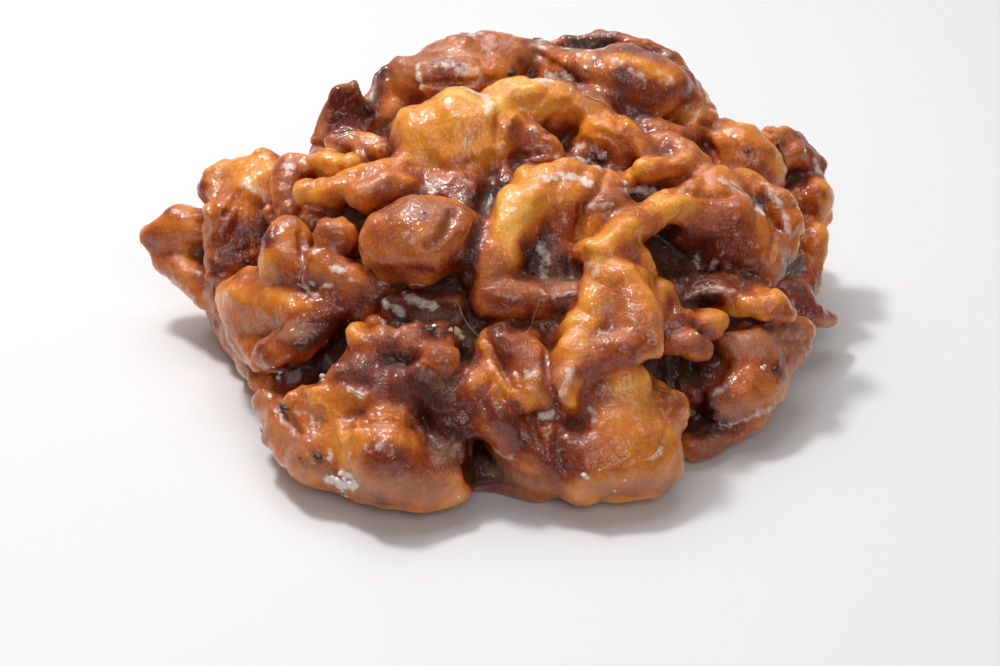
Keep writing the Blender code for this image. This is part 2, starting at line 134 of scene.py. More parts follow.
MIDDLE = {
    "band": (0.62, [(54, -14, 42, 3), (45, -19, 44, 4.4), (37, -25, 45, 4.3), (29, -34, 45, 3.8),
                    (25, -39, 43, 4.2)]),
    "tongue left": (0.66, [(25, -40, 41, 4.2), (24, -47, 36, 5), (20, -56, 30, 5), (17, -64, 26, 3.3),
                           (17, -67, 24, 2)]),
    "tongue right": (0.58, [(30, -44, 37, 5.7), (32, -52, 34, 5.6), (34, -57, 31, 3.6)]),
    "tongue foot": (0.50, [(28, -59, 31, 4.2), (22, -60, 28, 3)]),
    "tongue root": (0.62, [(33, -35, 38, 4.3), (29, -36, 40, 4.3)]),
    "chunk top": (0.60, [(9, -23, 51, 4.3), (17, -21, 51, 4), (24, -21, 50, 2.6)]),
    "chunk face": (0.76, [(8, -29, 48, 6), (4, -34, 44, 6.8), (2, -39, 40, 6.3), (1, -42, 36, 5)]),
    "chunk body": (0.50, [(10, -26, 46, 7), (17, -25, 46, 7.5), (25, -24, 45, 7)]),
    "chunk lip": (0.42, [(1, -45, 35, 4.4), (7, -46, 35, 4), (12, -45, 35, 3.5), (17, -45, 35, 3.2)]),
    "chunk right": (0.55, [(13, -24, 47, 4.3), (16, -29, 45, 4.3)]),
    "chunk bridge": (0.70, [(25, -23, 45, 3.5), (19, -19, 48, 3.5)]),
    "hollow floor": (0.30, [(13, -30, 35, 4.3)]),
    "potato": (0.42, [(-20, -37, 44, 7.6), (-14, -38, 45, 9.4), (-8, -36, 45, 8.2)]),
    "potato lobe": (0.45, [(-5, -23, 45, 2.8), (-5, -31, 42, 3), (-8, -35, 38, 2.6)]),
    "potato belly": (0.54, [(-15, -35, 39, 5.2)]),
    "small knob": (0.42, [(-34, -31, 42, 4.2), (-32, -31, 42, 4.3)]),
    "grey knob": (0.42, [(-28, -23, 47, 3.5), (-22, -21, 48, 4), (-18, -20, 48, 3)]),
    "orange bar": (0.62, [(-39, -17, 45, 4), (-32, -18, 46, 4), (-26, -17, 49, 3.5),
                          (-19, -13, 49, 3.5)]),
    "mauve wall": (0.42, [(-44, -4, 42, 4), (-44, -15, 38, 3.8)]),
    "round knob": (0.58, [(-44, -30, 35, 6), (-43, -26, 38, 5)]),
    "shelf": (0.40, [(-37, -35, 37, 3), (-30, -38, 36, 3.2), (-24, -39, 33, 3)]),
    "shelf body": (0.40, [(-40, -32, 33, 5), (-32, -35, 33, 5), (-24, -37, 32, 4.5)]),
    "low shelf": (0.40, [(-34, -40, 31, 3), (-27, -40, 30, 2.6)]),
    "valley floor": (0.25, [(-18, -39, 30, 4), (-10, -39, 29, 4.3), (-4, -43, 28, 3.2)]),
    "valley ledge": (0.34, [(-20, -45, 33, 3), (-14, -46, 33, 3), (-8, -48, 33, 3.2)]),
    "row behind": (0.56, [(-43, -4, 43.5, 3.4), (-36, -6, 46, 3.4), (-30, -9, 48, 3)]),
    "knob row": (0.42, [(-27.5, -51.5, 30, 3.2), (-25, -52.5, 29.3, 2.3), (-22.2, -54.2, 30, 3.9),
                        (-19, -53.6, 29.2, 2.3), (-16, -55, 30.2, 3.9)]),
    "end knob": (0.44, [(-15, -54, 30.5, 3), (-12.4, -56, 29, 2), (-9.2, -59.8, 29, 4.3)]),
    "scrap over the row": (0.30, [(-15, -52.5, 32.5, 2.2), (-10.5, -53, 32, 2.3)]),
    "below the knob row": (0.35, [(-26, -53, 25.2, 4.4), (-18, -54.6, 24.6, 4.6), (-10, -56.4, 22.8, 4.2)]),
}

LEFT = {
    "flap foot": (0.50, [(-35, -1, 49, 2.4), (-30, -1, 49.5, 2.9), (-24, -6, 49, 3)]),
    "ear": (0.26, [(-38.7, 9, 44.5, 2.6), (-36.3, 12, 49.2, 2.9), (-33.8, 14, 53.6, 2.6),
                   (-31, 13, 55.3, 2.2)]),
    "right of the ear": (0.40, [(-27, 12, 47, 2), (-26.6, 15, 50.6, 1.6)]),
    "dark edge": (0.12, [(-23.2, 23, 55.6, 1.4), (-25.2, 20, 53.6, 1.5), (-25, 13, 49, 2.2)]),
    "arm tip": (0.48, [(-77, 3, 21, 4.5), (-72, 4, 23.6, 5.4), (-65, 3, 24.9, 5.3)]),
    "arm tip foot": (0.42, [(-75.3, 0.8, 16.3, 3.8), (-69.2, -4.2, 14.3, 4.6), (-62.6, -9.2, 12.6, 5.1)]),
    "arm flap": (0.78, [(-63, 8, 35, 3.5), (-57, 7, 36.8, 3.8), (-51, 7, 38.4, 3.2)]),
    "flap tip": (0.20, [(-50, 8, 39.3, 2.1), (-48.5, 7, 38.5, 2)]),
    "flap corner": (0.15, [(-65, 5.5, 34, 2.3)]),
    "low arm flap": (0.60, [(-60, 2, 32, 5), (-54, 1, 35, 5.5), (-50, 2, 37, 4.5)]),
    "arm cone": (0.38, [(-60, -4, 31.5, 5.2), (-60.5, -9, 27, 4.8), (-62, -13, 22.5, 2.8)]),
    "arm edge": (0.22, [(-49, -7, 34, 1.8), (-48, -11, 32, 1.6)]),
    "arm floor": (0.35, [(-55, -10, 24, 4), (-59, -12, 21, 4)]),
    "low arm": (0.50, [(-62, -10, 17, 3.4), (-60, -15, 14, 3.4)]),
    "side wall": (0.62, [(-55, -24, 21, 6), (-48, -31, 24, 5.7), (-41, -36, 27, 3.3)]),
    "wall body": (0.62, [(-52, -27, 24, 6.5), (-45, -33, 26, 6), (-38, -39, 27, 4.5)]),
    "low side": (0.60, [(-54.5, -27, 15, 4.9), (-49.5, -34, 15, 5.1)]),
    "crease": (0.35, [(-48, -30, 29, 2.6), (-41, -38, 30, 2), (-35, -43, 30, 1.6)]),
    "side foot": (0.50, [(-60, -11, 8, 2.8), (-55, -22, 7, 3.2), (-50, -34, 6, 2.8)]),
    "dark bar": (0.22, [(-45, -45, 21, 5), (-40, -45, 24, 4.8), (-34, -43, 27, 3), (-31, -41, 29, 1.6)]),
    "bar end": (0.30, [(-49, -39, 15, 2.8)]),
}

FRONT = {
    "low shoulder": (0.40, [(-46.3, -51, 12, 3.8), (-42.2, -59.7, 11, 5.4), (-35.9, -66.3, 9, 6.4)]),
    "left body": (0.55, [(-38, -60, 10, 7), (-29, -65, 10, 8), (-20, -67, 10, 8)]),
    "left top": (0.55, [(-39, -58, 17, 4.2), (-30, -61, 18, 4.8)]),
    "round dome": (0.52, [(-21, -71, 13, 9)]),
    "left foot": (0.45, [(-34.3, -66, 6.3, 5), (-26, -71, 6.9, 5.3), (-14, -73.7, 7.2, 6.2),
                         (-8, -72, 6.6, 5.3)]),
    "mauve corner": (0.42, [(-9, -69, 12, 5), (-5, -69, 11, 3)]),
    "golden slope": (0.70, [(-35, -60, 20, 3.2), (-26, -62, 21, 3.6), (-18, -64, 21, 3)]),
    "red band": (0.38, [(-31, -57, 24, 3.4), (-24, -58, 25, 3.8), (-18, -62, 24, 3.3)]),
    "dark side": (0.32, [(-13, -62, 25, 4.2), (-9, -64, 22, 4.8), (-6, -66, 17, 4.8)]),
    "front dome": (0.70, [(28, -64, 12, 10.5), (33, -63, 11, 9)]),
    "front dome low": (0.66, [(21, -69, 9.5, 8.5), (32, -70, 8.5, 6.2), (36.6, -66.6, 8, 5.2)]),
    "front dome left": (0.45, [(13, -67, 11, 8), (5, -66, 13, 5.7)]),
    "front dome foot": (0.55, [(19, -71.5, 7, 5), (30, -70.3, 6, 4.4), (37, -66.8, 5.5, 3.9)]),
    "front dome right": (0.50, [(38, -59, 16, 5), (41, -62, 10, 3)]),
    "front dome top": (0.74, [(29, -59, 21, 6)]),
    "below the tongue": (0.50, [(16, -61, 20, 6), (24, -59, 21, 6)]),
    "streak": (0.84, [(0, -57, 26, 2.4), (3, -62, 24, 2.5), (8, -65, 22, 2.6)]),
    "red column": (0.36, [(3, -54, 29, 4.5), (8, -57, 27, 5), (10, -62, 24, 5)]),
    "red side": (0.36, [(-2, -62, 24, 4.5), (1, -67, 19, 5)]),
    "notch back": (0.20, [(-6, -64.8, 4, 4.4), (3, -64.8, 4, 4.9), (11, -68.4, 4.6, 5.3)]),
    "arch": (0.55, [(43, -33, 27, 1.6), (47, -31, 28, 1.6), (53, -32, 28, 1.6), (56, -32, 26, 1.6)]),
    "honey knob": (0.60, [(48, -40, 25, 4.2)]),
    "small right knob": (0.60, [(56, -34, 26, 2.6), (62, -34, 26, 4), (66, -33, 24, 2.6)]),
    "beside the tongue": (0.50, [(38, -38, 31, 3.6), (37, -42, 29, 3.4), (42, -41, 27, 3)]),
    "short bar": (0.30, [(39, -48, 25, 3), (43, -48, 25, 3.4), (47, -47, 23, 2.6)]),
    "right top": (0.42, [(54, -39, 18, 4.6), (60, -37, 15, 7), (68.3, -29.4, 14.6, 4.6)]),
    "right body": (0.42, [(56, -44, 12, 7), (57.5, -46.5, 8, 5.4), (61, -40.5, 11, 5.8)]),
    "right front foot": (0.35, [(51, -49, 10, 3.7), (49, -49, 12, 3.2)]),
    "right underside": (0.30, [(45, -56, 3, 3.1), (53, -50.5, 3.8, 3.2)]),
}

SIDES_AND_BACK = {
    "upper left": (0.52, [(-18, 30, 44, 9), (-8, 38, 42, 10)]),
    "upper middle": (0.60, [(6, 36, 46, 9), (9, 45, 37, 9.5)]),
    "upper back": (0.48, [(20, 39, 44, 8), (34, 34, 42, 9)]),
    "upper right": (0.56, [(42, 28, 36, 9), (52, 29, 28, 8.5)]),
    "middle left": (0.60, [(-38, 20, 27, 8.5), (-33, 35, 23, 10)]),
    "middle": (0.45, [(-14, 46, 30, 10), (-20, 48, 20, 10)]),
    "middle back": (0.66, [(3, 54, 25, 10), (17, 52, 28, 9)]),
    "middle right": (0.50, [(30, 47, 30, 9), (36, 49, 19, 11)]),
    "right end": (0.42, [(56, 33, 22, 9), (68, 23, 16, 9)]),
    "low left": (0.50, [(-54, 12, 9, 10), (-44, 28, 9, 11)]),
    "low middle left": (0.62, [(-30, 43, 9, 11), (-12, 54, 8, 11)]),
    "low middle right": (0.46, [(8, 56, 9, 11), (28, 53, 8, 11)]),
    "low right": (0.60, [(45, 44, 8, 11), (59, 35, 9, 11)]),
    "right flank": (0.40, [(60, -24, 6, 7), (64, -9, 6, 8), (63, 6, 18, 8)]),
    "right foot": (0.48, [(66, 8, 6, 8), (68, 20, 7, 8)]),
    "left flank": (0.50, [(-54, -16, 6, 7), (-58, -3, 7, 8), (-53, 6, 20, 8)]),
}

HOLLOWS = {
    "over the valley": [(-22, -48, 35, 2.4), (-13, -50, 35, 2.8), (-5, -51, 35, 3)],
    "under the swirl": [(38, -34, 40, 4), (46, -31, 39, 5.5), (53, -31, 36, 5)],
    "beside the chunk": [(12, -40, 45, 4.5), (14, -44, 42, 4)],
    "gap by the tongue": [(44, -39, 32, 2.8), (50, -39, 31, 2.8)],
    "under the small knob": [(62, -40, 22, 1.8), (68, -37, 20, 2)],
    "arm hollow": [(-52, -13, 33, 4)],
    "right of the front": [(45, -63, 12, 4), (44, -62, 4, 4)],
    "between the domes": [(-1, -73, 9, 4), (-2, -70, 14, 2.5)],
    "under the golden dome": [(2, -15, 51, 2.5), (-1, -26, 47, 2.5)],
    "between potato and chunk": [(0, -27, 51, 2), (0, -36, 50, 2.2), (-3, -45, 46, 2.2),
                                 (-4, -50, 41, 2.5)],
    "left crevice": [(-48, -46, 15, 2.5), (-37, -54, 22, 2.5)],
    "right crevice": [(49, -3, 47, 2.5)],
    "behind the column": [(70, -8, 26, 4), (70, -18, 22, 4)],
}

REGIONS = (CROWN, RIGHT, MIDDLE, LEFT, FRONT, SIDES_AND_BACK)
print(sum(map(len, REGIONS)), "lumps and", len(HOLLOWS), "hollows by hand")

# %% [markdown]
# ## Beads and roots
# A spine is turned into a row of overlapping beads, and every second bead grows a short root towards the
# middle of the fritter, so that no lump hangs loose. The back, which no one has looked at closely, gets
# small lumps by a seeded draw, laid as thick as at the front.

# %% Beads of every lump
CORE_CENTRE = Vector((3, -6, 0))
CORE_HALF = Vector((62, 56, 50))
CORE_TONE = 0.3
CORE_DEEP = 0.8
ROOT_TARGET = Vector((2, -6, 14))
ROOT_STEPS = 4
ROOT_STRIDE = 0.85
ROOT_SHRINK = 0.85
BEAD_SPACING = 0.35
BACK_SEED = 5
BACK_LUMPS = 44
BACK_FROM, BACK_TO = 0, 148
BACK_RISE = (10, 60)
BACK_HALF = Vector((70, 68, 52))
BACK_RADII = (3.5, 6.5)
BACK_REACH = (0.3, 1.8)
BACK_TAPER = (0.6, 1.0)
BACK_TONES = (0.34, 0.78)


def in_core(place):
    """True where a place lies well inside the core."""
    offset = place - CORE_CENTRE
    return sum((offset[i] / CORE_HALF[i]) ** 2 for i in range(3)) < CORE_DEEP


def beads_along(points):
    """Overlapping beads along a spine, each as (place, radius)."""
    beads = []
    for (ax, ay, az, ar), (bx, by, bz, br) in zip(points, points[1:]):
        start, end = Vector((ax, ay, az)), Vector((bx, by, bz))
        count = max(1, round((end - start).length / (BEAD_SPACING * (ar + br) / 2)))
        for i in range(count):
            share = i / count
            beads.append((start.lerp(end, share), ar + (br - ar) * share))
    last = points[-1]
    beads.append((Vector(last[:3]), last[3]))
    return beads


def roots_of(place, radius):
    """Beads that tie one bead of a lump down to the core."""
    roots = []
    for _ in range(ROOT_STEPS):
        if in_core(place):
            break
        place = place + (ROOT_TARGET - place).normalized() * radius * ROOT_STRIDE
        radius = radius * ROOT_SHRINK
        roots.append((place, radius))
    return roots


def small_back_lumps():
    """Rows (tone, points) of small lumps in random places over the back."""
    draw = random.Random(BACK_SEED)
    tones = random.Random(BACK_SEED + 1)
    rows = []
    for i in range(BACK_LUMPS):
        around = math.radians(BACK_FROM + (BACK_TO - BACK_FROM) * (i + draw.random()) / BACK_LUMPS)
        up = math.radians(draw.uniform(*BACK_RISE))
        outward = Vector((math.cos(around) * math.cos(up), math.sin(around) * math.cos(up), math.sin(up)))
        place = CORE_CENTRE + outward * BACK_HALF
        along = outward.cross(Vector([draw.uniform(-1, 1) for _ in range(3)])).normalized()
        radius = draw.uniform(*BACK_RADII)
        reach = along * radius * draw.uniform(*BACK_REACH)
        ends = [(*(place - reach), radius), (*(place + reach), radius * draw.uniform(*BACK_TAPER))]
        rows.append((tones.uniform(*BACK_TONES), ends))
    return rows


def as_table(beads):
    """Beads as an array of x, y, z, radius in millimetres."""
    return np.array([(*place, radius) for place, radius in beads])


lump_beads, lump_tones = [], []
for tone, points in [row for region in REGIONS for row in region.values()] + small_back_lumps():
    spine = beads_along(points)
    rooted = [root for bead in spine[::2] for root in roots_of(*bead)]
    lump_beads.append(as_table(spine + rooted))
    lump_tones.append(tone)
hollow_beads = as_table([bead for points in HOLLOWS.values() for bead in beads_along(points)])
print(len(lump_beads), "lumps,", sum(map(len, lump_beads)), "beads")

# %% [markdown]
# ## One skin round all the beads
# Voxel Remesh melts thousands of overlapping balls into one closed skin, as frying does. It is quick and
# never fails, but its skin shows steps like a staircase. So the remesh only gives the mesh, and in the
# next step every corner is moved onto the true surface of the lumps, which we can work out exactly.
# The balls are stamped from one icosphere as arrays, because adding them one by one takes minutes.

# %% Balls as arrays
BALL_DETAIL = 2


def link(thing):
    scene.collection.objects.link(thing)
    return thing


def mesh_of(name, corners, triangles):
    """A mesh made from arrays of corners, in metres, and of triangles."""
    mesh = bpy.data.meshes.new(name)
    mesh.vertices.add(len(corners))
    mesh.vertices.foreach_set("co", np.ascontiguousarray(corners, np.float32).ravel())
    mesh.loops.add(triangles.size)
    mesh.loops.foreach_set("vertex_index", np.ascontiguousarray(triangles, np.int32).ravel())
    mesh.polygons.add(len(triangles))
    mesh.polygons.foreach_set("loop_start", np.arange(0, triangles.size, 3, dtype=np.int32))
    mesh.update(calc_edges=True)
    return mesh


def ball(detail):
    """Corners and triangles of a ball of radius 1."""
    bm = bmesh.new()
    bmesh.ops.create_icosphere(bm, subdivisions=detail, radius=1.0)
    corners = np.array([vert.co for vert in bm.verts])
    triangles = np.array([[vert.index for vert in face.verts] for face in bm.faces])
    bm.free()
    return corners, triangles


def stamped(name, centres, radii):
    """One object of many balls; radii holds a number, or three, for each."""
    corners, triangles = ball(BALL_DETAIL)
    places = centres[:, None, :] + corners[None] * radii[:, None, :]
    steps = np.arange(len(centres)) * len(corners)
    faces = triangles[None] + steps[:, None, None]
    return link(bpy.data.objects.new(name, mesh_of(name, places.reshape(-1, 3) * MM, faces.reshape(-1, 3))))


# %% Fuse, carve and bake
def bake(thing):
    """Replaces an object's mesh by the one that its modifiers make."""
    shown = thing.evaluated_get(bpy.context.evaluated_depsgraph_get())
    mesh = bpy.data.meshes.new_from_object(shown)
    thing.modifiers.clear()
    thing.data = mesh


def fuse(thing, voxel):
    """Melts overlapping shapes into one closed skin."""
    remesh = thing.modifiers.new("Fuse", "REMESH")
    remesh.mode = "VOXEL"
    remesh.voxel_size = voxel * MM


def carve(thing, cutter):
    """Takes a closed shape out of another, once the modifiers are baked."""
    cut = thing.modifiers.new("Carve", "BOOLEAN")
    cut.operation = "DIFFERENCE"
    cut.solver = "MANIFOLD"
    cut.object = cutter


def block(name, place, size):
    """A plain block, by its middle and its size in millimetres."""
    bm = bmesh.new()
    bmesh.ops.create_cube(bm, size=1.0, matrix=Matrix.Translation(Vector(place) * MM)
                          @ Matrix.Diagonal((*(Vector(size) * MM), 1)))
    mesh = bpy.data.meshes.new(name)
    bm.to_mesh(mesh)
    bm.free()
    return link(bpy.data.objects.new(name, mesh))


# %% Melt the beads into one skin
BASE_SLAB, BASE_WIDTH = 70.0, 300.0
BASE_LOW = 0.8
QUICK_VOXEL, FINE_VOXEL = 1.0, 0.62
SKIN_VOXEL = FINE_VOXEL

every_bead = np.concatenate(lump_beads)
centres = np.vstack([every_bead[:, :3], np.array(CORE_CENTRE)[None]])
radii = np.vstack([np.repeat(every_bead[:, 3:], 3, axis=1), np.array(CORE_HALF)[None]])
crust = stamped("fritter_crust", centres, radii)
hollows = stamped("hollows", hollow_beads[:, :3], np.repeat(hollow_beads[:, 3:], 3, axis=1))
for thing in (crust, hollows):
    fuse(thing, SKIN_VOXEL)
    bake(thing)
base_slab = block("base_slab", (0, 0, -BASE_LOW - BASE_SLAB / 2), (BASE_WIDTH, BASE_WIDTH, BASE_SLAB))
carve(crust, hollows)
carve(crust, base_slab)
fuse(crust, SKIN_VOXEL)
bake(crust)
bpy.data.objects.remove(hollows)
bpy.data.objects.remove(base_slab)
print("skin of", len(crust.data.vertices), "corners")

# %% [markdown]
# ## Settling the skin on its lumps
# How far is a point from the dough? For one lump it is the distance to the nearest of its beads. Between
# two lumps the plain minimum gives a knife-sharp crease, and a soft minimum rounds it a little, as
# glaze and fat do. The same distances tell which lump each corner belongs to, for its colour, and
# how close the next lump is, which finds every crease on the fritter without drawing one by hand.
# To keep it fast, the corners are sorted into cells, and each cell asks only the beads near it.

# %% The field of the dough
CELL = 6.0
CREASE_SHARP = 0.95
CREASE_FILL = 0.25
HOLLOW_SHARP = 3.0
TONE_SHARP = 0.6
FIELD_MARGIN = 5.0

lump_of_bead = np.repeat(np.arange(len(lump_beads)), [len(beads) for beads in lump_beads])
tone_of_lump = np.array(lump_tones + [CORE_TONE])


def core_distance(places):
    """Distance from the ellipsoid of the core, near enough close to its surface."""
    offset = places - np.array(CORE_CENTRE)
    half = np.array(CORE_HALF)
    stretched = np.linalg.norm(offset / half, axis=1)
    slope = np.linalg.norm(offset / half ** 2, axis=1)
    return stretched * (stretched - 1.0) / np.maximum(slope, 1e-9)


def near_beads(beads, middle, reach):
    """Which beads could matter to points within reach of a middle."""
    gap = np.linalg.norm(beads[:, :3] - middle, axis=1) - beads[:, 3]
    return np.flatnonzero(gap < gap.min() + 2 * reach + FIELD_MARGIN)


def cell_groups(places):
    """The corners' numbers, grouped by the cell that they lie in."""
    keys = np.floor(places / CELL).astype(int)
    _, cell = np.unique(keys, axis=0, return_inverse=True)
    order = np.argsort(cell.ravel(), kind="stable")
    return np.split(order, np.flatnonzero(np.diff(cell.ravel()[order])) + 1)


def dough_field(places):
    """Distance from the dough, the tone of its lumps, and the gap to the next lump."""
    distance, tone, gap = np.empty(len(places)), np.empty(len(places)), np.empty(len(places))
    core = core_distance(places)
    for group in cell_groups(places):
        spot = places[group]
        middle = spot.mean(axis=0)
        reach = np.linalg.norm(spot - middle, axis=1).max()
        near = near_beads(every_bead, middle, reach)
        apart = np.linalg.norm(spot[:, None] - every_bead[near, :3][None], axis=2) - every_bead[near, 3]
        starts = np.flatnonzero(np.diff(lump_of_bead[near], prepend=-1))
        by_lump = np.minimum.reduceat(apart, starts, axis=1)
        by_lump = np.column_stack([by_lump, core[group]])
        tones = np.append(tone_of_lump[lump_of_bead[near][starts]], CORE_TONE)
        nearest = by_lump.min(axis=1)
        above = by_lump - nearest[:, None]
        filled = np.log(np.exp(-CREASE_SHARP * above).sum(axis=1)) / CREASE_SHARP
        distance[group] = nearest - filled + CREASE_FILL
        weight = np.exp(-TONE_SHARP * above)
        tone[group] = (weight * tones).sum(axis=1) / weight.sum(axis=1)
        gap[group] = np.partition(above, 1, axis=1)[:, 1]
    return distance, tone, gap


def hollow_field(places):
    """Distance from the hollows' surface, above 0 outside them."""
    distance = np.empty(len(places))
    for group in cell_groups(places):
        spot = places[group]
        apart = np.linalg.norm(spot[:, None] - hollow_beads[None, :, :3], axis=2) - hollow_beads[:, 3]
        distance[group] = apart.min(axis=1)
    return distance


def skin_field(places):
    """The dough without its hollows and without what lies below its base."""
    distance, tone, gap = dough_field(places)
    for other in (-hollow_field(places), -BASE_LOW - places[:, 2]):
        distance = np.logaddexp(HOLLOW_SHARP * distance, HOLLOW_SHARP * other) / HOLLOW_SHARP
    return distance, tone, gap


# %% Corners and normals as arrays
def corners_of(mesh):
    """A mesh's corners, in millimetres."""
    flat = np.empty(len(mesh.vertices) * 3, np.float32)
    mesh.vertices.foreach_get("co", flat)
    return flat.reshape(-1, 3).astype(float) / MM


def set_corners(mesh, places):
    mesh.vertices.foreach_set("co", (places * MM).astype(np.float32).ravel())
    mesh.update()


def normals_of(mesh):
    flat = np.empty(len(mesh.vertices) * 3, np.float32)
    mesh.vertex_normals.foreach_get("vector", flat)
    return flat.reshape(-1, 3).astype(float)


# %% Settle
SETTLE_ROUNDS = 3
SETTLE_STEP = 0.5

skin = crust.data
for _ in range(SETTLE_ROUNDS):
    places = corners_of(skin)
    distance, tone, gap = skin_field(places)
    step = np.clip(distance, -SETTLE_STEP, SETTLE_STEP)
    set_corners(skin, places - normals_of(skin) * step[:, None])
print("left to settle:", round(float(np.abs(distance).mean()), 3), "mm on average")

# %% [markdown]
# ## Pointing at the crust
# The small marks of this fritter, such as a burnt edge, a golden bulge or a run of glaze, are placed by
# pointing at the photograph: a mark is a path of pixels, and a sight line through each of them finds
# the spot on the crust that it lies on. From there on only the distance over the crust counts, in
# millimetres, so a mark keeps its place and its width from every side. The dozens of marks below were
# put down by eye, as a painter would, with the picture beside the render.

# %% Sight lines, noise and brushes
TRAIL_STEP = 3.0
BRUSH_CORE, BRUSH_EDGE = 0.5, 1.25
BRUSH_REACH = 2.0
RAGGED = ((1.7, 0.3), (0.8, 0.18))
RAGGED_SHIFT = 7.0


def tree_of(mesh):
    """A search tree of a mesh, for finding where a line meets it."""
    mesh.calc_loop_triangles()
    triangles = np.empty(len(mesh.loop_triangles) * 3, np.int32)
    mesh.loop_triangles.foreach_get("vertices", triangles)
    corners = (corners_of(mesh) * MM).tolist()
    return BVHTree.FromPolygons(corners, triangles.reshape(-1, 3).tolist(), all_triangles=True)


def touch(tree, u, v):
    """Where the sight line of a pixel meets the crust, in millimetres, or None."""
    place = tree.ray_cast(eye, sight_line(u, v))[0]
    return None if place is None else np.array(place) / MM


def trail(tree, path):
    """Spots on the crust, close together, under a path of pixels."""
    pixels = [path[0]]
    for (u0, v0), (u1, v1) in zip(path, path[1:]):
        count = max(1, round(math.hypot(u1 - u0, v1 - v0) / TRAIL_STEP))
        pixels += [(u0 + (u1 - u0) * i / count, v0 + (v1 - v0) * i / count) for i in range(1, count + 1)]
    found = [touch(tree, u, v) for u, v in pixels]
    return np.array([spot for spot in found if spot is not None])


def smoothstep(share):
    share = np.clip(share, 0, 1)
    return share * share * (3 - 2 * share)


def noise_at(places, size, shift=0.0):
    """Smooth noise from -1 to 1 at each place, with bumps of about that size in millimetres."""
    return np.array([noise.noise(Vector(place)) for place in places / size + shift])


def brushed(spots, places, rough, radius):
    """The corners that a stroke reaches, and how strongly, with a ragged edge."""
    if not len(spots):
        return np.empty(0, int), np.empty(0)
    reach = radius * BRUSH_REACH
    inside = ((places > spots.min(axis=0) - reach) & (places < spots.max(axis=0) + reach)).all(axis=1)
    inside = np.flatnonzero(inside)
    apart = np.linalg.norm(places[inside][:, None] - spots[None], axis=2).min(axis=1)
    share = apart / radius * (1 + rough[inside])
    return inside, smoothstep((BRUSH_EDGE - share) / (BRUSH_EDGE - BRUSH_CORE))


def pointed_at(tree, strokes):
    """Strokes with their paths turned into spots on the crust."""
    return [(value, radius, trail(tree, path)) for value, radius, path in strokes.values()]


# %% [markdown]
# The photograph doesn't show the far side, yet the same hands made it. Its marks fall at random: a
# line is aimed at the fritter from behind, and a short walk over the crust from there makes a stroke.
# A row of FAR_ values holds the seed, how many marks to make, and the least and most of their value,
# half width and length.

# %% Marks on the far side
FAR_FROM, FAR_TO = 8, 172
FAR_LOW, FAR_HIGH = 4, 62
FAR_EYE = 200.0
AIM = Vector((0, 0, 22))
WALK_STEP = 1.0


def aimed(tree, around, up):
    """Where a line from that direction, in degrees, meets the crust, in millimetres, or None."""
    around, up = math.radians(around), math.radians(up)
    outward = Vector((math.cos(around) * math.cos(up), math.sin(around) * math.cos(up), math.sin(up)))
    start = (AIM + outward * FAR_EYE) * MM
    place = tree.ray_cast(start, -outward)[0]
    return None if place is None else np.array(place) / MM


def far_marks(tree, seed, count, values, radii, lengths):
    """Seeded strokes over the far side, each (value, radius, spots)."""
    draw = random.Random(seed)
    marks = []
    for _ in range(count):
        around, up = draw.uniform(FAR_FROM, FAR_TO), draw.uniform(FAR_LOW, FAR_HIGH)
        heading, steps = draw.uniform(0, 2 * math.pi), round(draw.uniform(*lengths) / WALK_STEP)
        walk = [aimed(tree, around + i * math.cos(heading), up + i * math.sin(heading))
                for i in range(steps + 1)]
        spots = np.array([spot for spot in walk if spot is not None])
        marks.append((draw.uniform(*values), draw.uniform(*radii), spots))
    return marks


def paint(values, places, rough, marks):
    """Brushes each mark's value over the ones below it."""
    for value, radius, spots in marks:
        inside, strength = brushed(spots, places, rough, radius)
        values[inside] += (value - values[inside]) * strength


def pile(places, rough, marks):
    """Marks that only make more of something; where two cross, the larger counts."""
    values = np.zeros(len(places))
    for amount, radius, spots in marks:
        inside, strength = brushed(spots, places, rough, radius)
        values[inside] = np.maximum(values[inside], amount * strength)
    return values


# %% [markdown]
# ## Unevenness, relief and the flat base
# Real dough has no true circles. Pushing every corner about by a few sizes of smooth noise bends each
# lump a little. Where the dough was torn, its skin is knobbly: the absolute value of noise makes just
# that, round bumps with sharp creases between them. Where it swelled, the skin is stretched smooth.
# The fritter rested while it was soft, so its underside is pressed flat, with shallow dents where steam
# lifted it.

# %% Relief, and where the dough swelled: how much, half width in millimetres, path
WOBBLE = ((16.0, 0.9), (7.0, 0.8), (3.4, 0.25))
WOBBLE_FADE = 6.0
WOBBLE_SEED = 15
WARP = (4.0, 1.1)
KNOBS = ((8.0, 1.0), (3.6, 0.26), (1.6, 0.09))
KNOB_GAIN, KNOB_MOST, KNOB_MEAN = 2.2, 1.3, 0.55
KNOB_SHIFT = 11.0
UNDERSIDE = ((11.0, 0.5), (3.5, 0.25))
UNDERSIDE_SHIFT = 5.0
SWELL_KEEPS = 0.12
EVENING_ROUNDS = 7
EVENING_LEAST, EVENING_MOST = 0.35, 1.0
EVENING_PATCH, EVENING_SHIFT, EVENING_LIFT = 9.0, 9.0, 0.5
GAP_MOST = 9

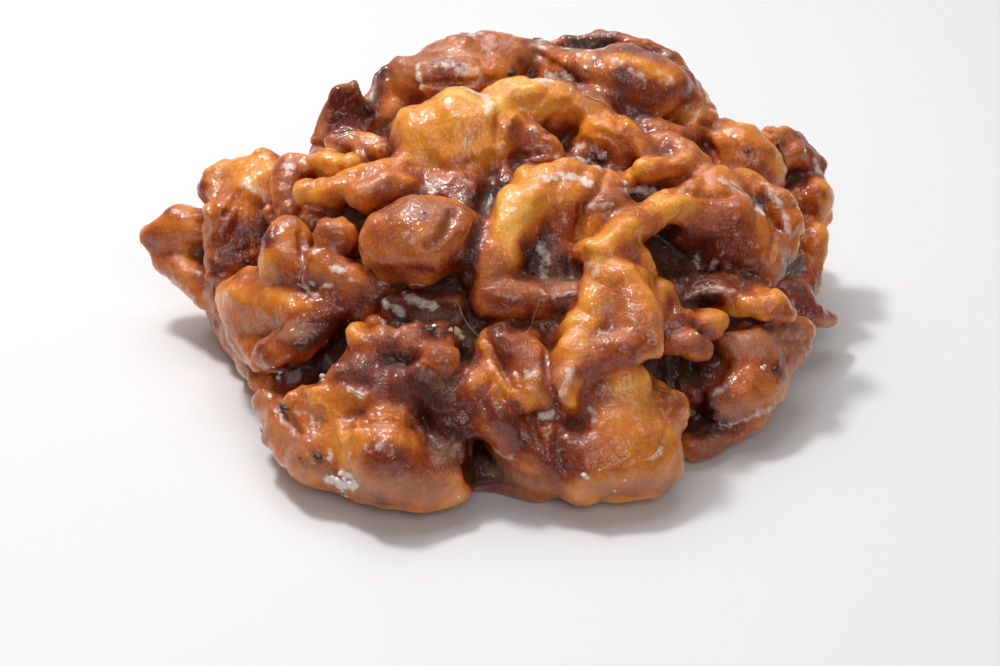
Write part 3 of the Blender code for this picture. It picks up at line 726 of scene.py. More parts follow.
FAR_SWELLINGS = (20, 24, (0.6, 0.9), (5.0, 9.0), (2, 6))
SWOLLEN = {
    "potato": (0.9, 9, [(385, 218), (440, 232)]),
    "golden dome": (0.7, 9, [(420, 125), (480, 130)]),
    "round dome": (0.9, 8, [(378, 462), (420, 480)]),
    "front dome": (0.85, 11, [(622, 430), (652, 460)]),
    "tongue": (0.8, 6, [(622, 302), (598, 350), (565, 380)]),
    "tongue right": (0.85, 6, [(640, 300), (648, 335), (615, 355)]),
    "knob row": (0.7, 4, [(383, 340), (408, 340)]),
    "horn": (0.8, 5, [(285, 335), (325, 325)]),
    "knob": (0.8, 8, [(735, 145), (765, 155)]),
    "crown": (0.6, 8, [(420, 65), (500, 45)]),
    "left dome": (0.8, 7, [(285, 435), (320, 420), (320, 460)]),
    "chunk": (0.75, 6, [(520, 212), (488, 250), (560, 175)]),
    "lip": (0.8, 4, [(485, 290), (530, 287)]),
    "swirl": (0.6, 6, [(735, 205), (760, 235)]),
    "right mass": (0.4, 8, [(750, 350), (770, 385)]),
    "side wall": (0.75, 8, [(235, 310), (265, 320)]),
    "back bar": (0.7, 7, [(560, 55), (610, 75)]),
    "arm flap": (0.8, 7, [(225, 170), (265, 170)]),
    "arm tip": (0.7, 7, [(165, 230), (180, 255)]),
    "round knob": (0.8, 5, [(290, 250), (290, 262)]),
    "grey knob": (0.7, 4, [(368, 188), (392, 186)]),
    "slope": (0.6, 6, [(330, 405), (340, 450)]),
    "band": (0.5, 5, [(600, 240), (660, 205)]),
    "end knob": (0.8, 3.5, [(440, 352)]),
    "left lumps": (0.4, 5, [(325, 270), (350, 285)]),
}
print(len(SWOLLEN), "swollen places")

# %% Helpers for relief
noise.seed_set(WOBBLE_SEED)


def edges_of(mesh):
    pairs = np.empty(len(mesh.edges) * 2, np.int32)
    mesh.edges.foreach_get("vertices", pairs)
    return pairs.reshape(-1, 2)


def averaged(values, pairs, rounds):
    """Each corner's value evened out with its neighbours', several times over."""
    first, second = pairs[:, 0], pairs[:, 1]
    count = np.bincount(first, minlength=len(values)) + np.bincount(second, minlength=len(values))
    for _ in range(rounds):
        total = (np.bincount(first, weights=values[second], minlength=len(values))
                 + np.bincount(second, weights=values[first], minlength=len(values)))
        values = (values + total) / (1 + count)
    return values


def evened(mesh, places, rounds):
    """The corners' places, evened out with those of their neighbours."""
    pairs = edges_of(mesh)
    return np.column_stack([averaged(places[:, i], pairs, rounds) for i in range(3)])


def wobbled(place):
    """How far a place is pushed about, so that no lump is a true ball."""
    push = Vector()
    for size, depth in WOBBLE:
        push += noise.noise_vector(place / size) * depth
    return push


def knobbly(places):
    """Height of the torn dough's bumps, with sharp creases between them, in millimetres."""
    size, depth = WARP
    bent = places + np.array([noise.noise_vector(Vector(place)) for place in places / size]) * depth
    height = 0
    for i, (size, depth) in enumerate(KNOBS):
        folded = np.abs(noise_at(bent, size, KNOB_SHIFT + i))
        height = height + (np.minimum(folded * KNOB_GAIN, KNOB_MOST) - KNOB_MEAN) * depth
    return height


def layered(places, layers, shift):
    """Several sizes of noise on top of each other, as (size, depth) in millimetres."""
    return sum(noise_at(places, size, shift + i) * depth for i, (size, depth) in enumerate(layers))


def add_float(mesh, name, values):
    """Stores one number for each corner, for the material to read."""
    layer = mesh.attributes.get(name) or mesh.attributes.new(name, "FLOAT", "POINT")
    layer.data.foreach_set("value", np.asarray(values, np.float32))


def floats_of(mesh, name):
    values = np.empty(len(mesh.vertices), np.float32)
    mesh.attributes[name].data.foreach_get("value", values)
    return values.astype(float)


# %% Push, swell and flatten the crust
places = corners_of(skin)
soft_here = smoothstep(noise_at(places, EVENING_PATCH, EVENING_SHIFT) + EVENING_LIFT)
soft_here = EVENING_LEAST + (EVENING_MOST - EVENING_LEAST) * soft_here
places += (evened(skin, places, EVENING_ROUNDS) - places) * soft_here[:, None]
above_base = smoothstep((places[:, 2] + BASE_LOW) / WOBBLE_FADE)
push = np.array([wobbled(Vector(place)) for place in places])
push[:, 2] *= above_base
places += push
set_corners(skin, places)
soft_tree = tree_of(skin)
swellings = pointed_at(soft_tree, SWOLLEN) + far_marks(soft_tree, *FAR_SWELLINGS)
swollen = pile(places, np.zeros(len(places)), swellings)

height = knobbly(places) * (1 - (1 - SWELL_KEEPS) * swollen) * above_base
places += normals_of(skin) * height[:, None]
dents = np.maximum(layered(places, UNDERSIDE, UNDERSIDE_SHIFT), 0)
places[:, 2] = np.maximum(places[:, 2], dents)
set_corners(skin, places)
add_float(skin, "tone", tone)
add_float(skin, "gap", np.minimum(gap, GAP_MOST))
print("crust spans", np.round(places.min(axis=0), 1), "to", np.round(places.max(axis=0), 1), "mm")

# %% [markdown]
# ## Fewer triangles where nobody looks closely
# The even mesh is far heavier than it needs to be on smooth bulges and below. Decimate folds up the
# edges that matter least. A vertex group tells it to spare the front and the top.

# %% Decimate
MOST_TRIANGLES = 192000
SPARED = 0.45
FRONT_EDGE, FRONT_FADE = 45.0, 15.0
BELOW_EDGE, BELOW_FADE = 0.5, 0.4


def thin_out(thing, most):
    """Folds up triangles until at most so many are left, and spares the front and top."""
    places, normals = corners_of(thing.data), normals_of(thing.data)
    behind = smoothstep((places[:, 1] - FRONT_EDGE) / FRONT_FADE)
    below = smoothstep((-normals[:, 2] - BELOW_EDGE) / BELOW_FADE)
    weights = np.round(SPARED + (1 - SPARED) * np.maximum(behind, below), 1)
    group = thing.vertex_groups.new(name="thin out")
    for level in np.unique(weights):
        group.add(np.flatnonzero(weights == level).tolist(), float(level), "REPLACE")
    triangles = sum(len(face.vertices) - 2 for face in thing.data.polygons)
    thin = thing.modifiers.new("Thin out", "DECIMATE")
    thin.ratio = min(1.0, most / triangles)
    thin.vertex_group = group.name
    thin.use_collapse_triangulate = True
    bake(thing)
    print(triangles, "triangles thinned out to", len(thing.data.polygons))


thin_out(crust, MOST_TRIANGLES)
skin = crust.data
skin.shade_smooth()

# %% Measure the thinner crust
crust_tree = tree_of(skin)
places = corners_of(skin)
rough = sum(noise_at(places, size, RAGGED_SHIFT) * share for size, share in RAGGED)
print("rough edges from", round(rough.min(), 2), "to", round(rough.max(), 2))

# %% [markdown]
# ## Creases and ridges
# Some folds of the dough are narrower than any lump. A groove is pressed in and a ridge is raised along
# its path, as a knife's back or a pinch would do.

# %% Grooves and ridges, depth and half width in millimetres
GROOVE_RAGGED = 0.5
GROOVES = {
    "between crown and bar": (1, 1, [(537, 53), (550, 62), (562, 69), (572, 78), (582, 88)]),
    "crown foot": (0.7, 0.9, [(415, 84), (440, 83), (465, 82), (495, 80)]),
    "dome, right": (0.8, 1, [(500, 112), (496, 130), (500, 150)]),
    "below the notch knob": (1, 0.9, [(512, 157), (530, 155), (548, 152)]),
    "shoulder": (0.8, 1, [(655, 85), (660, 100), (655, 115)]),
    "black crevice": (1.8, 1.1, [(706, 143), (712, 150), (715, 157)]),
    "dark crevice": (1, 0.9, [(702, 123), (710, 125), (718, 128)]),
    "chunk, fold": (1.6, 1.3, [(582, 205), (582, 220), (578, 232)]),
    "chunk, back": (0.7, 0.9, [(605, 172), (598, 195), (585, 203)]),
    "swirl, crest": (0.8, 1, [(662, 190), (685, 192), (712, 197), (730, 196)]),
    "swirl, right": (0.7, 0.9, [(766, 190), (768, 215), (775, 235), (770, 260)]),
    "potato, groove": (1.3, 1.2, [(452, 214), (448, 228), (438, 241), (428, 244)]),
    "round knob": (0.8, 1, [(300, 235), (303, 255), (298, 280)]),
    "arm flap, fold": (0.7, 1, [(240, 190), (233, 205), (225, 215)]),
    "arm flap, left fold": (0.6, 0.8, [(222, 180), (215, 195), (210, 210)]),
    "left dome, cleft": (0.9, 0.8, [(275, 400), (282, 414), (290, 422), (300, 434)]),
    "left dome, red": (0.6, 0.8, [(278, 384), (292, 388), (304, 397)]),
    "round dome, vein": (0.8, 0.8, [(345, 430), (360, 426), (375, 419), (396, 419), (416, 428)]),
    "tongue, left": (0.8, 0.9, [(545, 350), (547, 372), (555, 396)]),
    "front dome, right": (0.7, 1.1, [(660, 405), (668, 425), (662, 440)]),
    "front dome, left": (0.9, 1.2, [(560, 430), (558, 450), (565, 470)]),
    "red lump": (0.7, 0.9, [(500, 395), (512, 405), (532, 425), (540, 445)]),
    "yellow streak, right": (0.9, 0.8, [(488, 342), (500, 365), (512, 388)]),
    "burgundy": (1, 0.9, [(700, 395), (704, 412), (716, 415)]),
}
RIDGES = {
    "dome, right run": (0.5, 0.9, [(497, 160), (502, 142), (508, 124), (516, 113), (526, 108)]),
    "swirl, edge": (0.5, 0.9, [(768, 186), (782, 191), (793, 201), (800, 216), (803, 240)]),
    "knob, line": (0.4, 0.7, [(768, 130), (777, 139), (784, 153), (790, 172)]),
    "yellow streak": (0.7, 0.9, [(482, 343), (490, 362), (500, 378), (509, 394)]),
    "tongue, right edge": (0.6, 1.1, [(652, 318), (658, 345)]),
    "ridge over the dome": (0.6, 1, [(352, 438), (360, 418), (385, 410), (405, 414), (418, 424),
                                       (424, 440)]),
    "golden slope": (0.6, 1.4, [(318, 405), (336, 418), (344, 440)]),
    "arm flap, top": (0.5, 1.1, [(206, 172), (230, 158), (262, 150)]),
    "arch": (0.4, 0.9, [(688, 297), (710, 289), (732, 295)]),
    "fork": (0.5, 1.2, [(592, 220), (582, 240), (600, 250)]),
    "horn": (0.5, 1.2, [(285, 325), (310, 318), (345, 312)]),
}

# %% Press the grooves and raise the ridges
lift = np.zeros(len(places))
for sense, strokes in ((-1, GROOVES), (1, RIDGES)):
    for depth, radius, spots in pointed_at(crust_tree, strokes):
        inside, strength = brushed(spots, places, rough * GROOVE_RAGGED, radius)
        lift[inside] += sense * depth * strength
places += normals_of(skin) * lift[:, None]
set_corners(skin, places)
print("grooves and ridges from", round(lift.min(), 2), "to", round(lift.max(), 2), "mm")

# %% [markdown]
# ## How brown each place is fried, and where shade is painted
# Browning runs from pale gold, where the dough stayed thick and wet, to black on thin edges that
# fried longest. Each lump has its own tone. The brush then corrects what the eye sees: golden bulges,
# burnt rims, and painted shade, the dark red-brown and black of hollows, holes and gaps and the shadows
# under overhangs. A palette in the material turns the tone into a colour.

# %% Browning and painted shade strokes: tone, half width in millimetres, path
# Painted shade: the darkest of these strokes paint the shade in holes, gaps and hollows and the
# arch; under the small right knob; under the right; arm hollow; arm hollow, low.
# by the shoulder; dark crevice; black crevice; right cleft; the right hole strokes; the swirl hollow
# potato, underside; right of the potato; dark gap; round knob, shade; small knob, shade; column,
# shade; horn, underside; below the horn; knob row, shade; valley, black hole; dark notch; under the
# shadows cast under overhangs, not browning. They are behind the bar; between crown and bar; hollow
# strokes; the chunk hollow strokes; lip, shade; the under the tongue strokes; tongue, underside;
BROWNING_AND_SHADE = {
    "crown": (0.47, 3.5, [(395, 65), (420, 60), (445, 48), (470, 40), (500, 42), (515, 50)]),
    "crown, orange": (0.57, 2.4, [(455, 50), (480, 62), (500, 62), (520, 58)]),
    "crown, red spot": (0.3, 0.9, [(422, 78), (427, 80)]),
    "crown, left band": (0.62, 2, [(395, 88), (388, 105), (380, 120)]),
    "black frill": (0.02, 1.3, [(367, 84), (375, 77), (386, 70)]),
    "under the frill": (0.1, 1.5, [(378, 86), (376, 100), (372, 115)]),
    "ear, top": (0.34, 1.6, [(335, 84), (355, 84)]),
    "ear, foot": (0.3, 2.6, [(335, 125), (350, 128)]),
    "ear, middle": (0.27, 2.4, [(338, 98), (352, 96), (350, 112), (362, 112)]),
    "ear, left side": (0.44, 1.5, [(326, 112), (320, 135)]),
    "beside the ear": (0.12, 1.8, [(365, 105), (368, 120)]),
    "lumps right of the ear": (0.5, 3, [(345, 150), (360, 148)]),
    "notch below the ear": (0.1, 1.2, [(368, 162), (372, 155)]),
    "dark nub": (0.1, 1.6, [(386, 128), (389, 140)]),
    "below the nub": (0.2, 1.2, [(392, 148), (396, 152)]),
    "red oval": (0.45, 1.8, [(399, 126), (400, 138)]),
    "golden dome": (0.84, 5, [(415, 118), (440, 112), (470, 110), (490, 125)]),
    "golden dome, low": (0.86, 4, [(420, 150), (445, 155), (475, 155), (490, 150)]),
    "dome, upper vein": (0.64, 0.7, [(402, 112), (412, 108), (424, 103)]),
    "dome, middle vein": (0.62, 0.6, [(420, 142), (432, 137), (445, 135), (457, 138)]),
    "dome, right vein": (0.66, 0.8, [(470, 128), (478, 140), (482, 150)]),
    "dome, right spots": (0.5, 1.2, [(498, 114), (496, 130)]),
    "dome, foot": (0.5, 1.5, [(440, 166), (452, 162), (468, 160)]),
    "right ridge": (0.86, 3.2, [(505, 90), (520, 98), (540, 105), (560, 108), (578, 110)]),
    "right ridge, orange": (0.76, 2.4, [(545, 92), (570, 95), (595, 102)]),
    "notch knob": (0.42, 3.2, [(515, 130), (530, 145), (545, 143)]),
    "below the notch knob": (0.14, 0.8, [(515, 157), (530, 155), (545, 152), (553, 156)]),
    "dark by the notch": (0.16, 0.9, [(560, 128), (559, 138)]),
    "brown by the notch": (0.3, 1.2, [(565, 118), (572, 130)]),
    "orange lump": (0.72, 2.6, [(588, 130), (602, 127), (615, 132)]),
    "orange lump, end": (0.48, 1.6, [(625, 130), (632, 142)]),
    "between crown and bar": (0.26, 0.9, [(537, 53), (550, 62), (562, 69), (572, 78), (582, 88),
                                          (597, 93)]),
    "back bar, left": (0.58, 2.8, [(550, 52), (570, 58)]),
    "back bar, face": (0.53, 3.4, [(590, 72), (605, 85)]),
    "behind the bar": (0.02, 1.6, [(570, 39), (585, 42), (600, 44), (612, 40)]),
    "lip, top": (0.24, 1.2, [(580, 33), (600, 31), (620, 35)]),
    "lip, red": (0.45, 1.3, [(622, 42), (632, 44)]),
    "golden rim": (0.86, 2.3, [(608, 60), (626, 57), (641, 61), (655, 69), (667, 78)]),
    "dark of the rim": (0.2, 1.3, [(650, 50), (662, 54), (672, 56)]),
    "rim, end": (0.6, 1.5, [(672, 62), (680, 75)]),
    "bar, dark face": (0.36, 3, [(640, 90), (645, 100)]),
    "hollow by the shoulder": (0.08, 1.8, [(634, 115), (646, 115)]),
    "cleft by the shoulder": (0.3, 0.9, [(615, 107), (624, 111)]),
    "shoulder": (0.58, 3, [(700, 100), (712, 112)]),
    "shoulder, orange": (0.7, 2.5, [(665, 112), (685, 115), (695, 118)]),
    "shoulder, spots": (0.38, 1.2, [(668, 90), (668, 97), (690, 88), (692, 98)]),
    "dark crevice": (0.12, 0.9, [(703, 123), (710, 125), (717, 128)]),
    "black crevice": (0.02, 1.2, [(707, 145), (712, 150), (714, 156)]),
    "brown lumps": (0.44, 2.2, [(690, 130), (700, 138), (706, 132)]),
    "tan lump": (0.57, 2, [(655, 132), (670, 136), (685, 142)]),
    "orange ridge": (0.64, 2, [(648, 172), (665, 166), (685, 165), (698, 168)]),
    "knob": (0.56, 4, [(725, 152), (750, 160), (765, 150)]),
    "knob, top": (0.72, 2.8, [(725, 130), (745, 129), (762, 136)]),
    "knob, foot": (0.4, 2, [(763, 172), (770, 182)]),
    "behind the knob": (0.45, 3.2, [(790, 140), (805, 150), (815, 165)]),
    "behind the knob, gold": (0.66, 1.2, [(797, 154), (800, 158)]),
    "behind the knob, top": (0.12, 0.8, [(786, 125), (797, 124)]),
    "right cleft": (0.1, 1.5, [(782, 187), (795, 186)]),
    "right cleft, end": (0.3, 1.2, [(795, 185), (812, 188), (825, 195)]),
    "column": (0.6, 2.4, [(810, 222), (812, 240), (815, 255)]),
    "column, shade": (0.36, 1.4, [(803, 200), (812, 206), (822, 212)]),
    "column, edge": (0.3, 0.9, [(832, 200), (834, 215), (830, 228)]),
    "column, low": (0.46, 2, [(815, 265), (818, 280)]),
    "right hole": (0.02, 2.2, [(785, 268), (797, 262), (795, 272)]),
    "right hole, low": (0.1, 2, [(795, 285), (803, 292)]),
    "swirl, brow": (0.5, 3.4, [(715, 208), (735, 205), (750, 215), (755, 235)]),
    "swirl, face": (0.36, 3, [(730, 225), (745, 245), (745, 262)]),
    "swirl, right": (0.6, 2.4, [(765, 240), (768, 220), (775, 208)]),
    "swirl, edge": (0.6, 2, [(790, 245), (795, 225), (793, 205)]),
    "swirl, top": (0.5, 2.4, [(670, 187), (690, 184)]),
    "swirl, gold": (0.88, 2.6, [(662, 201), (680, 207), (690, 204)]),
    "swirl, orange": (0.65, 2.5, [(705, 182), (722, 190)]),
    "swirl hollow": (0.27, 2.6, [(690, 232), (705, 238), (722, 245)]),
    "swirl hollow, low": (0.24, 2.8, [(690, 262), (715, 262), (735, 270)]),
    "swirl hollow, black": (0, 1.9, [(652, 243), (665, 247), (680, 251)]),
    "swirl hollow, left": (0.04, 2, [(655, 262), (665, 270), (682, 275)]),
    "swirl hollow, floor": (0.26, 2.4, [(700, 283), (720, 281), (740, 284)]),
    "pale fold": (0.48, 1.6, [(765, 260), (770, 272)]),
    "chunk, top": (0.64, 3, [(560, 170), (580, 172), (600, 182)]),
    "chunk, top left": (0.84, 2.6, [(522, 172), (532, 178), (545, 170)]),
    "chunk, dark right": (0.42, 2.2, [(625, 188), (610, 197), (590, 198)]),
    "chunk, left edge": (0.66, 2.6, [(488, 222), (480, 245)]),
    "chunk, gold right": (0.78, 2.2, [(540, 203), (558, 208)]),
    "chunk, gold": (0.93, 3.6, [(503, 208), (520, 216), (514, 232)]),
    "chunk, low": (0.58, 3.2, [(490, 255), (500, 268)]),
    "chunk, inner red": (0.54, 3, [(560, 218), (566, 234)]),
    "chunk, fold": (0.18, 1.4, [(573, 228), (580, 222)]),
    "chunk hollow, left": (0.12, 2.6, [(525, 246), (528, 260), (538, 272)]),
    "chunk hollow, right": (0.08, 2.2, [(565, 262), (572, 275), (580, 272)]),
    "lip, mauve": (0.46, 2.8, [(485, 290), (510, 288), (535, 285)]),
    "lip, shade": (0.3, 1, [(490, 305), (520, 303), (550, 300)]),
    "bar of the hollow": (0.24, 1.6, [(560, 303), (572, 300)]),
    "fork, gold": (0.88, 2.4, [(592, 222), (582, 243), (600, 240)]),
    "fork, pale": (0.76, 2, [(610, 228), (622, 224)]),
    "band, red": (0.54, 3, [(640, 215), (656, 222)]),
    "band, right red": (0.46, 2.2, [(625, 245), (632, 256)]),
    "tongue": (0.53, 4, [(615, 296), (628, 320), (632, 345)]),
    "tongue, neck": (0.74, 2.2, [(608, 260), (620, 268)]),
    "tongue, gold": (0.8, 2.2, [(592, 308), (580, 328), (568, 345)]),
    "tongue, red": (0.43, 3, [(610, 350), (640, 345)]),
    "tongue, right": (0.5, 1.8, [(652, 315), (656, 345)]),
    "tongue, tip": (0.6, 2.4, [(560, 365), (562, 385)]),
    "tongue, tip end": (0.2, 1, [(556, 402), (563, 406)]),
    "tongue, underside": (0.36, 1.3, [(578, 372), (590, 372), (605, 368)]),
    "under the tongue": (0.25, 0.9, [(612, 366), (635, 364)]),
    "under the tongue, left": (0.36, 1.3, [(594, 388), (600, 398)]),
    "arm tip": (0.6, 3.2, [(170, 225), (186, 216)]),
    "arm tip, dark": (0.4, 2.6, [(153, 232), (150, 245)]),
    "arm tip, tan": (0.66, 2.8, [(182, 250), (190, 264)]),
    "arm tip, mauve": (0.5, 2.4, [(158, 258), (170, 272)]),
    "arm tip, burnt rim": (0.1, 0.9, [(145, 225), (158, 213), (172, 208)]),
    "arm tip, top rim": (0.3, 0.8, [(182, 201), (193, 203)]),
    "arm flap": (0.82, 3.6, [(225, 165), (245, 168), (266, 165)]),
    "arm flap, orange": (0.66, 2.2, [(212, 178), (226, 174)]),
    "arm flap, gold": (0.84, 2.4, [(262, 180), (268, 190)]),
    "arm flap, burnt edge": (0.1, 0.8, [(275, 150), (279, 160), (281, 172)]),
    "arm flap, burnt corner": (0.06, 1.2, [(199, 187), (203, 186)]),
    "arm flap, red fold": (0.56, 1.2, [(237, 196), (230, 207)]),
    "arm flap, left fold": (0.58, 0.9, [(214, 193), (211, 208)]),
    "arm flap, foot": (0.7, 2.2, [(250, 204), (245, 215)]),
    "arm cone": (0.38, 3, [(214, 232), (222, 222), (222, 245)]),
    "arm cone, pale": (0.46, 2, [(207, 248), (205, 262)]),
    "arm cone, inside": (0.24, 2, [(240, 226), (238, 244), (229, 261)]),
    "arm hollow": (0.24, 3, [(245, 232), (262, 230), (268, 238)]),
    "arm hollow, low": (0.2, 2.2, [(240, 247), (226, 262), (215, 270)]),
    "arm hollow, gold": (0.7, 1.2, [(251, 252), (257, 253)]),
    "arm groove": (0.2, 0.8, [(274, 205), (273, 218)]),
    "below the hollow": (0.48, 3, [(238, 276), (256, 278)]),
    "round knob": (0.56, 3.4, [(285, 250), (290, 265)]),
    "round knob, shade": (0.24, 1, [(278, 283), (298, 291), (315, 299)]),
    "mauve wall": (0.42, 3.2, [(286, 172), (288, 200), (290, 218)]),
    "orange ridges": (0.72, 2.8, [(312, 185), (330, 178)]),
    "orange ridges, low": (0.6, 2.6, [(335, 197), (348, 187)]),
    "orange ridges, right": (0.62, 2.4, [(360, 175), (382, 172)]),
    "small knob": (0.43, 3, [(324, 228), (330, 236)]),
    "small knob, shade": (0.27, 1.3, [(343, 249), (349, 243)]),
    "grey knob": (0.44, 3, [(374, 190), (388, 188)]),
    "grey knob, orange": (0.6, 1.6, [(358, 208), (370, 205)]),
    "potato": (0.44, 5, [(395, 205), (430, 205), (455, 215)]),
    "potato, left": (0.53, 4, [(374, 240), (392, 235)]),
    "potato, low": (0.6, 2.4, [(385, 254), (410, 255), (425, 250)]),
    "potato, underside": (0.3, 1.8, [(375, 268), (400, 270), (430, 268)]),
    "potato, dark end": (0.22, 2.2, [(450, 262), (459, 270)]),
    "potato, groove": (0.26, 1.3, [(449, 224), (441, 240), (430, 244)]),
    "potato, right lobe": (0.54, 2.2, [(461, 224), (456, 240)]),
    "right of the potato": (0.04, 1.6, [(478, 225), (472, 245), (468, 265)]),
    "dark gap": (0.1, 2.4, [(502, 187), (494, 196)]),
    "dark gap, low": (0.12, 2, [(487, 205), (482, 216)]),
    "above the potato": (0.3, 1.4, [(430, 186), (462, 181), (480, 178)]),
    "left lumps": (0.57, 3, [(320, 268), (336, 276)]),
    "left lumps, right": (0.6, 2, [(342, 285), (366, 285)]),
    "shelf": (0.27, 2.8, [(370, 300), (386, 308)]),
    "side wall": (0.62, 4.2, [(235, 310), (255, 322), (272, 312)]),
    "side wall, low": (0.56, 3.4, [(238, 335), (252, 338)]),
    "yellow band": (0.86, 1.6, [(266, 290), (286, 297), (306, 303)]),
    "left edge": (0.52, 3, [(212, 310), (228, 340), (246, 366)]),
    "horn, left": (0.3, 3, [(285, 335), (300, 328), (318, 320)]),
    "horn": (0.2, 2.4, [(300, 350), (322, 336), (340, 321)]),
    "horn, underside": (0.04, 2.2, [(318, 356), (336, 336)]),
    "horn, foot": (0.25, 1.2, [(262, 348), (268, 360)]),
    "below the horn": (0.1, 2.2, [(288, 368), (310, 367), (332, 362)]),
    "gold by the horn": (0.84, 1.7, [(357, 324), (352, 338)]),
    "gold by the horn, right": (0.66, 1.6, [(370, 320), (379, 322)]),
    "knob row": (0.42, 2.6, [(370, 344), (385, 336), (408, 336)]),
    "knob row, top": (0.32, 1.8, [(424, 327), (436, 331)]),
    "knob row, end": (0.43, 3.2, [(434, 348), (446, 356)]),
    "knob row, shade": (0.16, 1, [(352, 362), (372, 368), (400, 372), (425, 380), (450, 378)]),
    "valley": (0.24, 3.4, [(400, 300), (440, 305), (455, 320)]),
    "valley, black hole": (0, 1.8, [(467, 348), (472, 360)]),
    "left dome, edge": (0.47, 2.4, [(262, 390), (258, 410), (265, 432)]),
    "left dome, tan": (0.57, 1.4, [(271, 392), (269, 412)]),
    "left dome, orange": (0.6, 3, [(298, 404), (312, 430), (325, 448)]),
    "left dome, low": (0.44, 3.2, [(288, 446), (308, 458), (330, 472)]),
    "left dome, red streak": (0.3, 1, [(280, 384), (292, 388), (302, 396)]),
    "left dome, cleft": (0.2, 0.9, [(274, 398), (280, 412), (290, 421), (299, 433)]),
    "golden slope": (0.74, 3, [(318, 403), (335, 413), (338, 440), (342, 458)]),
    "golden slope, bright": (0.88, 1.5, [(345, 430), (346, 445), (342, 462)]),
    "golden slope, top": (0.66, 2.4, [(335, 392), (355, 402)]),
    "red band": (0.29, 4, [(345, 370), (370, 374), (395, 385)]),
    "red band, right": (0.18, 3.6, [(420, 380), (445, 395), (430, 402)]),
    "ridge over the dome": (0.66, 1.6, [(383, 411), (405, 415)]),
    "round dome": (0.4, 4.6, [(375, 465), (400, 470), (425, 478)]),
    "round dome, low": (0.48, 3.4, [(352, 492), (380, 496), (432, 496)]),
    "round dome, top": (0.56, 2, [(378, 430), (395, 427), (408, 434)]),
    "round dome, brow": (0.33, 2.6, [(378, 450), (402, 456)]),
    "round dome, vein": (0.34, 0.7, [(345, 430), (360, 426), (375, 420), (395, 420), (415, 428)]),
    "round dome, pits": (0.16, 0.8, [(377, 494), (384, 498), (378, 503), (383, 507)]),
    "right of the dome": (0.14, 3, [(427, 415), (442, 425), (456, 436)]),
    "grey crust": (0.26, 2.8, [(438, 456), (456, 450)]),
    "dark notch": (0, 4, [(478, 452), (486, 468), (470, 474)]),
    "red lump": (0.29, 4.2, [(490, 405), (510, 422), (530, 440)]),
    "red lump, low": (0.46, 3, [(518, 478), (542, 486), (560, 494)]),
    "red column": (0.3, 3, [(498, 342), (505, 356)]),
    "red column, right": (0.46, 2.4, [(522, 342), (530, 360)]),
    "dark of the column": (0.16, 1.6, [(485, 325), (505, 328), (520, 330)]),
    "yellow streak": (0.92, 1.1, [(483, 345), (490, 362), (500, 378), (509, 393)]),
    "yellow streak, orange side": (0.6, 1.4, [(486, 384), (500, 396)]),
    "amber pool": (0.6, 2.4, [(514, 384), (524, 398)]),
    "amber pool, yellow": (0.84, 1.8, [(531, 396), (540, 404)]),
    "front dome": (0.69, 6, [(622, 420), (648, 438), (640, 465)]),
    "front dome, left": (0.58, 3.4, [(600, 440), (612, 462)]),
    "front dome, red": (0.36, 4, [(574, 444), (564, 468), (580, 462)]),
    "front dome, yellow": (0.93, 2.2, [(618, 386), (634, 388)]),
    "front dome, gold": (0.8, 2, [(648, 396), (658, 402)]),
    "front dome, upper right": (0.46, 2.6, [(665, 394), (680, 400), (676, 416)]),
    "front dome, right": (0.63, 2.6, [(682, 444), (676, 466)]),
    "front dome, low": (0.48, 2.4, [(598, 490), (640, 490), (670, 485)]),
    "left of the front dome": (0.28, 3.2, [(545, 448), (556, 466)]),
    "honey knob": (0.74, 1.8, [(712, 318), (723, 320)]),
    "honey knob, low": (0.32, 1.4, [(708, 335), (714, 341)]),
    "under the arch": (0.02, 2.4, [(690, 308), (702, 303), (716, 300)]),
    "under the arch, low": (0.16, 1.1, [(684, 316), (692, 322)]),
    "yellow bits": (0.76, 1.2, [(755, 290), (766, 288)]),
    "yellow link": (0.62, 1.2, [(739, 308), (753, 310)]),
    "small right knob": (0.48, 2.4, [(776, 314), (790, 310)]),
    "small right knob, gold": (0.58, 1.6, [(762, 304), (770, 306)]),
    "under the small right knob": (0.02, 1.6, [(765, 326), (780, 331), (796, 326)]),
    "right mass": (0.43, 5, [(738, 345), (775, 350), (800, 345)]),
    "right mass, low": (0.4, 3.4, [(735, 410), (760, 408)]),
    "right mass, orange": (0.56, 3.8, [(742, 380), (760, 394), (748, 400)]),
    "burgundy knob": (0.1, 2.2, [(705, 400), (711, 411)]),
    "glazed knob": (0.45, 2.2, [(721, 386), (715, 377)]),
    "dark by the short bar": (0.06, 3, [(660, 370), (685, 378), (702, 370)]),
    "short bar": (0.42, 2.2, [(668, 341), (702, 346)]),
    "link to the short bar": (0.3, 2, [(668, 304), (672, 314)]),
    "far tip": (0.3, 1.4, [(820, 310), (831, 316)]),
    "far side": (0.3, 2, [(800, 300), (809, 312)]),
    "under the right": (0.01, 3, [(700, 430), (716, 432)]),
    "right underside": (0.32, 2.4, [(700, 450), (726, 440)]),
}
print(len(BROWNING_AND_SHADE), "browning strokes")
